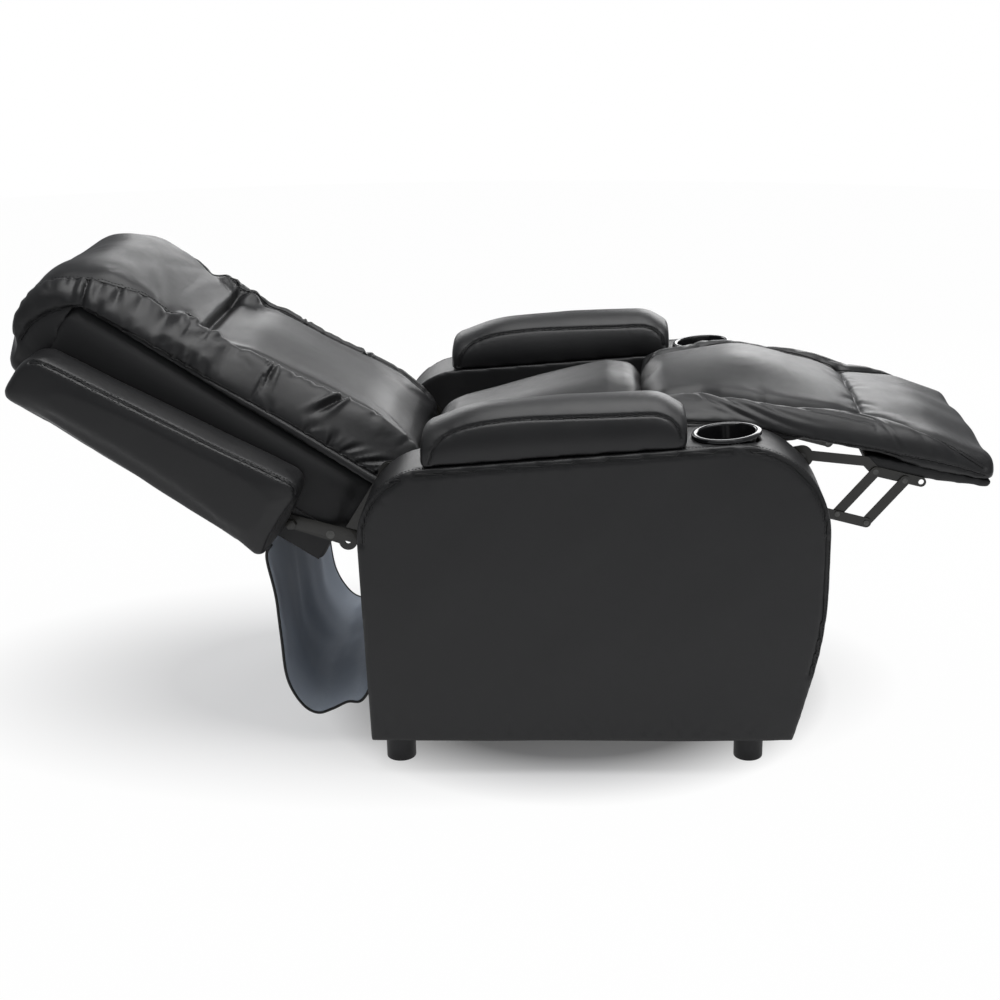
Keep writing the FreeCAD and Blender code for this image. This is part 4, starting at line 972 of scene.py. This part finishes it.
wingSeam = [(0.339, 0.562, -0.118), (0.339, 0.538, -0.107), (0.339, 0.439, -0.097), (0.339, 0.355, -0.091),
            (0.339, 0.272, -0.083), (0.339, 0.191, -0.071), (0.339, 0.124, -0.063), (0.339, 0.106, -0.076)]
wingForm = {
    "voxel": 0.0055,
    "rounds": 3,
    "rearReach": 0.018,
    "pressure": 3.0,
    "cap": 0.006,
    "shrink": 0.001,
    "seamDepth": 0.0032,
    "seamWidth": 0.0028,
    "folds": ((0.04, 0.07), (0.0002, 0.0005), (0.005, 0.009), (0.015, 0.035), (-0.4, 0.4)),
    "ripple": (0.0009, 0.16, 17),
}


def makeWing(side):
    sign = sides[side]
    wing = copyOf(side + "Wing", side + "_wing")
    local = toBack(pointsOf(wing))
    local[:, 2] -= wingForm["rearReach"] * ramp(-local[:, 2], 0.10, 0.17)
    local[:, 1] += 0.008 * ramp(local[:, 1], 0.45, 0.56) - 0.006 * ramp(-local[:, 1], -0.20, -0.11)
    setPoints(wing, fromBack(local))
    remesh(wing, wingForm)
    points = pointsOf(wing)
    seam = laid(wing, curveThrough(backRoute(wingSeam, sign), 0.005))[0]
    _, gap = nearest(points, seam, 0.02)
    fill(wing, (gap < 0.004) | (np.abs(points[:, 0]) < 0.2505), wingForm)
    return wing


def finishWing(side, wing):
    sign = sides[side]
    finer(wing)
    seam = sew(wing, backRoute(deep(wingSeam, wingForm["seamDepth"]), sign), wingForm["seamWidth"])
    gather(wing, seam, backAxes @ np.array([0.0, 0.0, -1.0]), pinchRow(15, 0.0, 0.5, *wingForm["folds"]))
    ripple(wing, wingForm)
    smoothShaded(wing)
    rows = [
        stitches("row", wing, seam, 0.005, backAxes @ np.array([0.0, 0.0, 1.0])),
        stitches("row", wing, seam, 0.006, backAxes @ np.array([0.0, 0.0, -1.0])),
        welt("row", wing, seam, 0.0009, sink=0.1),
    ]
    sewn = joined(side + "WingStitching", rows)
    dress(wing, leather, "back")
    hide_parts(side + "_wing")
    dress(sewn, thread, "back")


# Seat cushion and the chaise pad, one soft piece from the seat to the footrest

chaiseSeam = [(0.150, -0.150, 0.560), (0.158, -0.205, 0.575), (0.180, -0.240, 0.573), (0.198, -0.299, 0.570),
              (0.194, -0.365, 0.560), (0.174, -0.450, 0.541), (0.170, -0.500, 0.530), (0.206, -0.559, 0.517),
              (0.226, -0.622, 0.490), (0.233, -0.660, 0.468)]
chaiseHem = [(0.236, -0.170, 0.545), (0.236, -0.260, 0.540), (0.236, -0.346, 0.521), (0.236, -0.410, 0.509),
             (0.236, -0.475, 0.500), (0.236, -0.524, 0.489), (0.236, -0.589, 0.477), (0.236, -0.663, 0.455)]
tuftLine = [(-0.168, -0.476, 0.535), (-0.08, -0.472, 0.541), (0.0, -0.470, 0.543),
            (0.08, -0.472, 0.541), (0.168, -0.476, 0.535)]
seatForm = {
    "voxel": 0.007,
    "rounds": 4,
    "rearDip": 0.018,
    "pressure": 2.0,
    "cap": 0.004,
    "shrink": 0.002,
    "ripple": (0.0008, 0.2, 23),
}
chaiseForm = {
    "voxel": 0.0062,
    "rounds": 8,
    "flankRise": 0.008,
    "farRise": 0.008,
    "pressure": 3.0,
    "cap": 0.008,
    "shrink": -0.002,
    "tuftDepths": (0.002, 0.008, 0.010, 0.008, 0.002),
    "seamDepths": (0.006, 0.010, 0.013, 0.014, 0.013, 0.011, 0.007, 0.004, 0.003, 0.003),
    "tuftFolds": ((0.06, 0.10), (0.001, 0.002), (0.008, 0.012), (0.03, 0.06), (-0.6, 0.6)),
    "thighFolds": ((0.050, 0.070), (0.0014, 0.0024), (0.010, 0.014), (0.05, 0.09), (2.6, 3.8)),
    "calfFolds": ((0.07, 0.10), (0.0006, 0.0012), (0.010, 0.014), (0.03, 0.05), (1.5, 2.5)),
    "dents": ((0.10, 0.15), (0.0008, 0.0016), (0.012, 0.018), (0.05, 0.08), (-0.8, 0.8)),
    "hemPulls": ((0.05, 0.09), (0.0004, 0.0010), (0.005, 0.008), (0.015, 0.03), (-1.0, 0.4)),
    "ripple": (0.0004, 0.18, 31),
}


def mirrorX(route, sign):
    return [(sign * x, y, z) for x, y, z in route]


def makeSeat():
    seat = copyOf("seatCushion", "seat_cushion")
    points = pointsOf(seat)
    local = toSeat(points)
    dip = seatForm["rearDip"] * ramp(local[:, 2], -0.07, 0.0)
    points[:, 2] -= dip * (1.0 - ramp(local[:, 1], 0.08, 0.38))
    setPoints(seat, points)
    remesh(seat, seatForm)
    local = toSeat(pointsOf(seat))
    fill(seat, local[:, 2] < -0.066, seatForm)
    return seat


def finishSeat(seat):
    ease(seat, 14, ramp(normalsOf(seat)[:, 2], 0.3, 0.6))
    finer(seat)
    ripple(seat, seatForm)
    smoothShaded(seat)
    dress(seat, leather, "seat")
    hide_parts("seat_cushion")


def makeChaise():
    chaise = copyOf("chaisePad", "seat_front_pad", "footrest_pad")
    remesh(chaise, chaiseForm)
    points = pointsOf(chaise)
    flank = ramp(np.abs(points[:, 0]), 0.165, 0.225)
    rows = np.asarray(chaiseHem)[::-1]
    above = points[:, 2] - np.interp(points[:, 1], rows[:, 1], rows[:, 2])
    rise = chaiseForm["flankRise"] * flank * (1.0 - ramp(above, -0.006, 0.016))
    points[:, 2] += rise * ramp(points[:, 1], -0.56, -0.50)
    setPoints(chaise, points)
    knee = ramp(points[:, 1], -0.42, -0.38) * ramp(-points[:, 1], 0.28, 0.32) * ramp(above, 0.0, 0.01)
    ease(chaise, 60, knee)
    points = pointsOf(chaise)
    upward = ramp(normalsOf(chaise)[:, 2], 0.0, 0.5) * ramp(points[:, 0], 0.165, 0.195)
    rise = chaiseForm["farRise"] * upward * ramp(points[:, 1], -0.50, -0.42)
    points[:, 2] += rise * ramp(-points[:, 1], 0.18, 0.24)
    setPoints(chaise, points)
    held = [laid(chaise, curveThrough(tuftLine, 0.005))[0]]
    for sign in (-1.0, 1.0):
        held.append(laid(chaise, curveThrough(mirrorX(chaiseSeam, sign), 0.005))[0])
    _, gap = nearest(points, np.vstack(held), 0.02)
    under = normalsOf(chaise)[:, 2] < -0.4
    fill(chaise, (gap < 0.005) | under | (points[:, 1] < -0.640), chaiseForm)
    return chaise


def finishChaise(chaise):
    points = pointsOf(chaise)
    panel = ramp(0.19 - np.abs(points[:, 0]), 0.0, 0.03) * ramp(normalsOf(chaise)[:, 2], 0.3, 0.6)
    ease(chaise, 14, panel * ramp(np.abs(points[:, 1] + 0.472), 0.01, 0.03))
    finer(chaise)
    rows = []
    tuft = sew(chaise, [(*row, depth) for row, depth in zip(tuftLine, chaiseForm["tuftDepths"])], 0.005)
    folds = pinchRow(140, 0.03, 0.31, *chaiseForm["tuftFolds"])
    gather(chaise, tuft, (0, 1, 0.2), folds, 0.004, 0.03)
    gather(chaise, tuft, (0, -1, 0.2), folds, 0.003, 0.03)
    for side, sign in sides.items():
        seed = 160 if side == "right" else 180
        route = [(*row, depth) for row, depth in zip(mirrorX(chaiseSeam, sign), chaiseForm["seamDepths"])]
        seam = sew(chaise, route, 0.0070, 0.015, (-sign, 0, 0.3))
        along = arcOf(seam)[-1]
        creases = pinchRow(seed, 0.0, 0.30, *chaiseForm["thighFolds"])
        creases += pinchRow(seed + 1, 0.30, along, *chaiseForm["calfFolds"])
        gather(chaise, seam, (sign, 0, -0.5), creases, 0.005 * ramp(along - arcOf(seam), 0.0, 0.08))
        gather(chaise, seam, (-sign, 0, 0.3), pinchRow(seed + 2, 0.05, 0.36, *chaiseForm["dents"]))
        hem = sew(chaise, deep(mirrorX(chaiseHem, sign), 0.0025), 0.003)
        pulls = pinchRow(seed + 3, 0.0, arcOf(hem)[-1], *chaiseForm["hemPulls"])
        gather(chaise, hem, (0, 0, 1), pulls)
        rows.append(stitches("row", chaise, seam, 0.005, (-sign, 0, 0.2)))
        rows.append(welt("row", chaise, seam, 0.0010, sink=0.1))
        rows.append(stitches("row", chaise, hem, 0.004, (0, 0, 1)))
        rows.append(welt("row", chaise, hem, 0.0011, sink=0.2))
    ripple(chaise, chaiseForm)
    smoothShaded(chaise)
    sewn = joined("chaiseStitching", rows)
    dress(chaise, leather)
    dress(sewn, thread)
    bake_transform(chaise)
    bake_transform(sewn)
    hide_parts("seat_front_pad", "footrest_pad")


wrapForm = {"voxel": 0.005, "rounds": 5, "ripple": (0.0008, 0.06, 41)}


def makeBoardWrap():
    wrap = copyOf("footrestWrap", "footrest_board")
    remesh(wrap, wrapForm)
    ripple(wrap, wrapForm)
    finer(wrap)
    smoothShaded(wrap)
    dress(wrap, shadedLeather, "footrest")
    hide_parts("footrest_board")


# Rear flap: lining cloth hung in a loop from the back to the rear rail

flapForm = {
    "half": 0.275,
    "route": [(0.488, 0.352), (0.499, 0.331), (0.497, 0.272), (0.489, 0.186), (0.481, 0.115),
              (0.459, 0.070), (0.434, 0.053), (0.409, 0.060), (0.383, 0.073), (0.360, 0.075),
              (0.3420, 0.098), (0.3385, 0.122)],
    "thick": 0.0015,
}


def makeFlap():
    route = curveThrough([(0.0, y, z) for y, z in flapForm["route"]], 0.002)
    arc = arcOf(route)
    length = float(arc[-1])
    bpy.ops.object.select_all(action="DESELECT")
    bpy.ops.mesh.primitive_grid_add(x_subdivisions=120, y_subdivisions=100, size=2.0)
    cloth = bpy.context.object
    cloth.name = "rearFlap"
    grid = pointsOf(cloth)
    share = (grid[:, 1] + 1.0) / 2.0
    across = grid[:, 0]
    y = np.interp(share * length, arc, route[:, 1])
    z = np.interp(share * length, arc, route[:, 2])
    loose = ramp(share, 0.0, 0.25) * ramp(1.0 - share, 0.0, 0.2)
    folds = 0.004 * np.sin(across * 7.0 + 3.6 * share) + 0.0015 * np.sin(across * 17.0 + 2.0 - share * 2.0)
    pull = 0.010 * across ** 2 * loose
    x = across * flapForm["half"] * (1.0 - 0.012 * loose)
    points = np.column_stack([x, y + folds * loose - pull, z + 0.3 * folds * loose])
    setPoints(cloth, points)
    edges = []
    for sign in (-1.0, 1.0):
        rim = points[np.abs(across - sign) < 1e-6]
        order = np.argsort(share[np.abs(across - sign) < 1e-6])
        edges.append(rim[order])
    thick = cloth.modifiers.new("thick", "SOLIDIFY")
    thick.thickness = flapForm["thick"]
    thick.offset = 0.0
    applyAll(cloth)
    smoothShaded(cloth)
    binding = joined("flapBinding", [welt("row", cloth, edge, 0.0024, sink=0.0) for edge in edges])
    dress(cloth, lining)
    dress(binding, thread)
    for piece in (cloth, binding):
        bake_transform(piece)
    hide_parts("rear_flap")
    print("flap hung, flat length", round(length, 4))


# Stamped channels on the back brackets, with their nuts

channelForm = {
    "place": (0.2537, 0.408, 0.371),
    "thick": 0.004,
    "long": 0.122,
    "tall": 0.026,
    "tilt": 0.262,
    "lip": 0.0035,
    "hollow": 0.0024,
    "rounding": 0.0007,
    "nut": (0.2560, 0.459, 0.379),
    "nutRadius": 0.0088,
    "nutDepth": 0.006,
}


def makeChannel(side):
    sign = sides[side]
    bpy.ops.object.select_all(action="DESELECT")
    x, y, z = channelForm["place"]
    bpy.ops.mesh.primitive_cube_add(size=1.0, location=(sign * x, y, z),
                                    rotation=(channelForm["tilt"], 0.0, 0.0))
    bar = bpy.context.object
    bar.scale = (channelForm["thick"], channelForm["long"], channelForm["tall"])
    settled(bar)
    for face in bar.data.polygons:
        face.select = face.normal.x * sign > 0.9
    bpy.ops.object.mode_set(mode="EDIT")
    bpy.ops.mesh.select_mode(type="FACE")
    bpy.ops.mesh.inset(thickness=channelForm["lip"], depth=-channelForm["hollow"])
    bpy.ops.object.mode_set(mode="OBJECT")
    bpy.ops.object.select_all(action="DESELECT")
    x, y, z = channelForm["nut"]
    radius, depth = channelForm["nutRadius"], channelForm["nutDepth"]
    bpy.ops.mesh.primitive_cylinder_add(vertices=6, radius=radius, depth=depth, location=(sign * x, y, z),
                                        rotation=(0.0, math.pi / 2, 0.0))
    nut = bpy.context.object
    settled(nut)
    made = joined(side + "BackChannel", [bar, nut])
    rounded(made, channelForm["rounding"], 2)
    crisp(made)
    dress(made, steel, "back")


# Cup holders and feet

cupForm = {
    "rise": 0.033,  # of the flange's foot over the middle of the fitting
    "steps": 96,
    "profile": [(0.0, -0.070), (0.040, -0.070), (0.0435, -0.0675), (0.0450, -0.062), (0.0450, 0.002),
                (0.0458, 0.0048), (0.0476, 0.0060), (0.0515, 0.0060), (0.0540, 0.0050), (0.0550, 0.0028),
                (0.0550, 0.0004), (0.0545, 0.0), (0.0466, 0.0), (0.0466, -0.072), (0.0, -0.072)],
}
footForm = {"radius": 0.0238, "height": 0.064, "inset": 0.024, "rounding": 0.003}


def makeCup(side):
    sign = sides[side]
    low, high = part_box(side + "_cup_holder")
    bpy.ops.object.select_all(action="DESELECT")
    profile = cupForm["profile"]
    cup = newMesh(side + "CupHolder", [(r, 0.0, z) for r, z in profile], [])
    cup.data.edges.add(len(profile) - 1)
    for i in range(len(profile) - 1):
        cup.data.edges[i].vertices = (i, i + 1)
    only(cup)
    bpy.ops.object.mode_set(mode="EDIT")
    bpy.ops.mesh.select_all(action="SELECT")
    bpy.ops.mesh.spin(steps=cupForm["steps"], angle=2 * math.pi, center=(0, 0, 0), axis=(0, 0, 1),
                      dupli=False)
    bpy.ops.mesh.select_all(action="SELECT")
    bpy.ops.mesh.remove_doubles(threshold=0.00001)
    bpy.ops.mesh.normals_make_consistent(inside=False)
    bpy.ops.object.mode_set(mode="OBJECT")
    rise = (low[2] + high[2]) / 2.0 + cupForm["rise"]
    cup.rotation_euler = (-armSlope, 0.0, 0.0)
    cup.location = (sign * armForm["cupX"], armForm["cupY"], rise)
    settled(cup)
    crisp(cup)
    dress(cup, gloss, "base")
    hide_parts(side + "_cup_holder")


def makeFeet():
    low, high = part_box("feet")
    made = []
    inset, height = footForm["inset"], footForm["height"]
    for x in (low[0] + inset, high[0] - inset):
        for y in (low[1] + inset, high[1] - inset):
            bpy.ops.object.select_all(action="DESELECT")
            bpy.ops.mesh.primitive_cylinder_add(vertices=64, radius=footForm["radius"], depth=height,
                                                location=(x, y, height / 2))
            foot = bpy.context.object
            rounded(foot, footForm["rounding"], 4)
            settled(foot)
            made.append(foot)
    feet = joined("footSet", made)
    crisp(feet)
    dress(feet, footPlastic, "base")
    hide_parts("feet")


# Build

for side in sides:
    makeArm(side)
pillows = {side: makePillow(side) for side in sides}
backCushion = makeBack()
wings = {side: makeWing(side) for side in sides}
seatCushion = makeSeat()
chaisePad = makeChaise()
runFilling()
for side in sides:
    finishPillow(side, *pillows[side])
    finishWing(side, wings[side])
finishBack(backCushion)
print("back cushion sewn")
finishSeat(seatCushion)
finishChaise(chaisePad)
print("seat and chaise sewn")
makeShell()
makeBoardWrap()
makeFlap()
for side in sides:
    makeCup(side)
makeFeet()
for side in sides:
    makeChannel(side)

# The CAD pieces that show as they are
nodeLooks = [
    (("bolt", "pin", "rivet"), zinc),  # a later row goes over an earlier one
    (("board", "shelf", "post", "frame", "base_front_rail", "base_rear_rail", "cross"), wood),
    (("webbing",), webbing),
    (("back_post", "back_top_rail", "back_bottom_rail", "back_rear_panel"), shadedLeather),
]
for name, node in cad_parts.items():
    look = steel
    for words, material in nodeLooks:
        if any(word in name for word in words):
            look = material
    node.data.materials.clear()
    node.data.materials.append(look)
print("CAD pieces dressed")

# Floor, light and camera

studio = {
    "floorRadius": 7.0,
    "floorColour": (0.86, 0.86, 0.87, 1.0),
    "skyColour": (0.95, 0.97, 1.0, 1.0),
    "skyStrength": 0.26,
    "lens": 63.0,
    "shift": -0.09,
    "eye": (-2.941, -0.025, 1.275),
    "pitch": 17.65,  # degrees down
}
white = (1.0, 1.0, 1.0, 1.0)
bpy.ops.object.select_all(action="DESELECT")
bpy.ops.mesh.primitive_circle_add(vertices=96, radius=studio["floorRadius"], fill_type="NGON")
floor = bpy.context.object
floor.name = "floor"
floorLook = bpy.data.materials.new("floor")
graph = Graph(floorLook)
under = graph.node("ShaderNodeMapping", {}, {"Vector": graph.place(), "Location": (-0.04, -0.34, 0.0),
                                             "Scale": (1.9, 1.15, 1.0)}, "Vector")
distance = graph.node("ShaderNodeVectorMath", {"operation": "LENGTH"}, {0: under}, "Value")
seen = graph.node("ShaderNodeLightPath", {}, {}, "Is Camera Ray")
glossy = graph.node("ShaderNodeLightPath", {}, {}, "Is Glossy Ray")
lit = graph.node("ShaderNodeBsdfDiffuse", {}, {"Color": studio["floorColour"]}, "BSDF")
bright = graph.node("ShaderNodeEmission", {}, {"Color": white, "Strength": 1.0}, "Emission")
away = graph.between(distance, 0.50, 1.02, 0.52, 0.985)
below = graph.node("ShaderNodeMapping", {}, {"Vector": graph.place(), "Scale": (2.15, 2.35, 1.0)}, "Vector")
nearBase = graph.node("ShaderNodeVectorMath", {"operation": "LENGTH"}, {0: below}, "Value")
away = away * graph.between(nearBase, 0.70, 1.08, 0.15, 1.0)
share = seen * away + glossy * 0.35
graph.close(graph.node("ShaderNodeMixShader", {}, {0: share, 1: lit, 2: bright}, "Shader"))
floor.data.materials.append(floorLook)

world = bpy.data.worlds.new("studio")
bpy.context.scene.world = world
sky = Graph(world)
seen = sky.node("ShaderNodeLightPath", {}, {}, "Is Camera Ray")
shown = sky.node("ShaderNodeBackground", {}, {"Color": white, "Strength": 1.0}, "Background")
skyLinks = {"Color": studio["skyColour"], "Strength": studio["skyStrength"]}
light = sky.node("ShaderNodeBackground", {}, skyLinks, "Background")
both = sky.node("ShaderNodeMixShader", {}, {0: seen, 1: light, 2: shown}, "Shader")
ending = sky.tree.nodes.new("ShaderNodeOutputWorld")
sky.tree.links.new(both.socket, ending.inputs["Surface"])


def lamp(name, place, aim, width, height, energy):
    bpy.ops.object.light_add(type="AREA", location=place)
    made = bpy.context.object
    made.name = name
    made.data.shape = "RECTANGLE"
    made.data.energy = energy
    made.data.size = width
    made.data.size_y = height
    direction = Vector(aim) - Vector(place)
    made.rotation_euler = direction.to_track_quat("-Z", "Y").to_euler()
    return made


overhead = lamp("overhead", (-0.1, -0.3, 2.8), (0.0, 0.0, 0.4), 2.4, 2.4, 56.0)
farFront = lamp("farFront", (2.7, -0.85, 1.45), (0.0, -0.3, 0.5), 1.3, 1.3, 20.0)
farRear = lamp("farRear", (2.7, 0.90, 1.45), (0.0, 0.3, 0.5), 1.0, 1.3, 10.5)
nearSide = lamp("nearSide", (-2.6, -1.6, 1.8), (0.0, -0.1, 0.35), 1.6, 1.6, 3.0)

cameraData = bpy.data.cameras.new("camera")
cameraData.lens = studio["lens"]
cameraData.sensor_width = 36.0
cameraData.shift_x = studio["shift"]
camera = bpy.data.objects.new("camera", cameraData)
camera.location = studio["eye"]
camera.rotation_euler = (math.radians(90.0 - studio["pitch"]), 0.0, math.radians(-90.0))
bpy.context.scene.collection.objects.link(camera)
bpy.context.scene.camera = camera
bpy.context.scene.view_settings.view_transform = "Standard"
print("stage set")
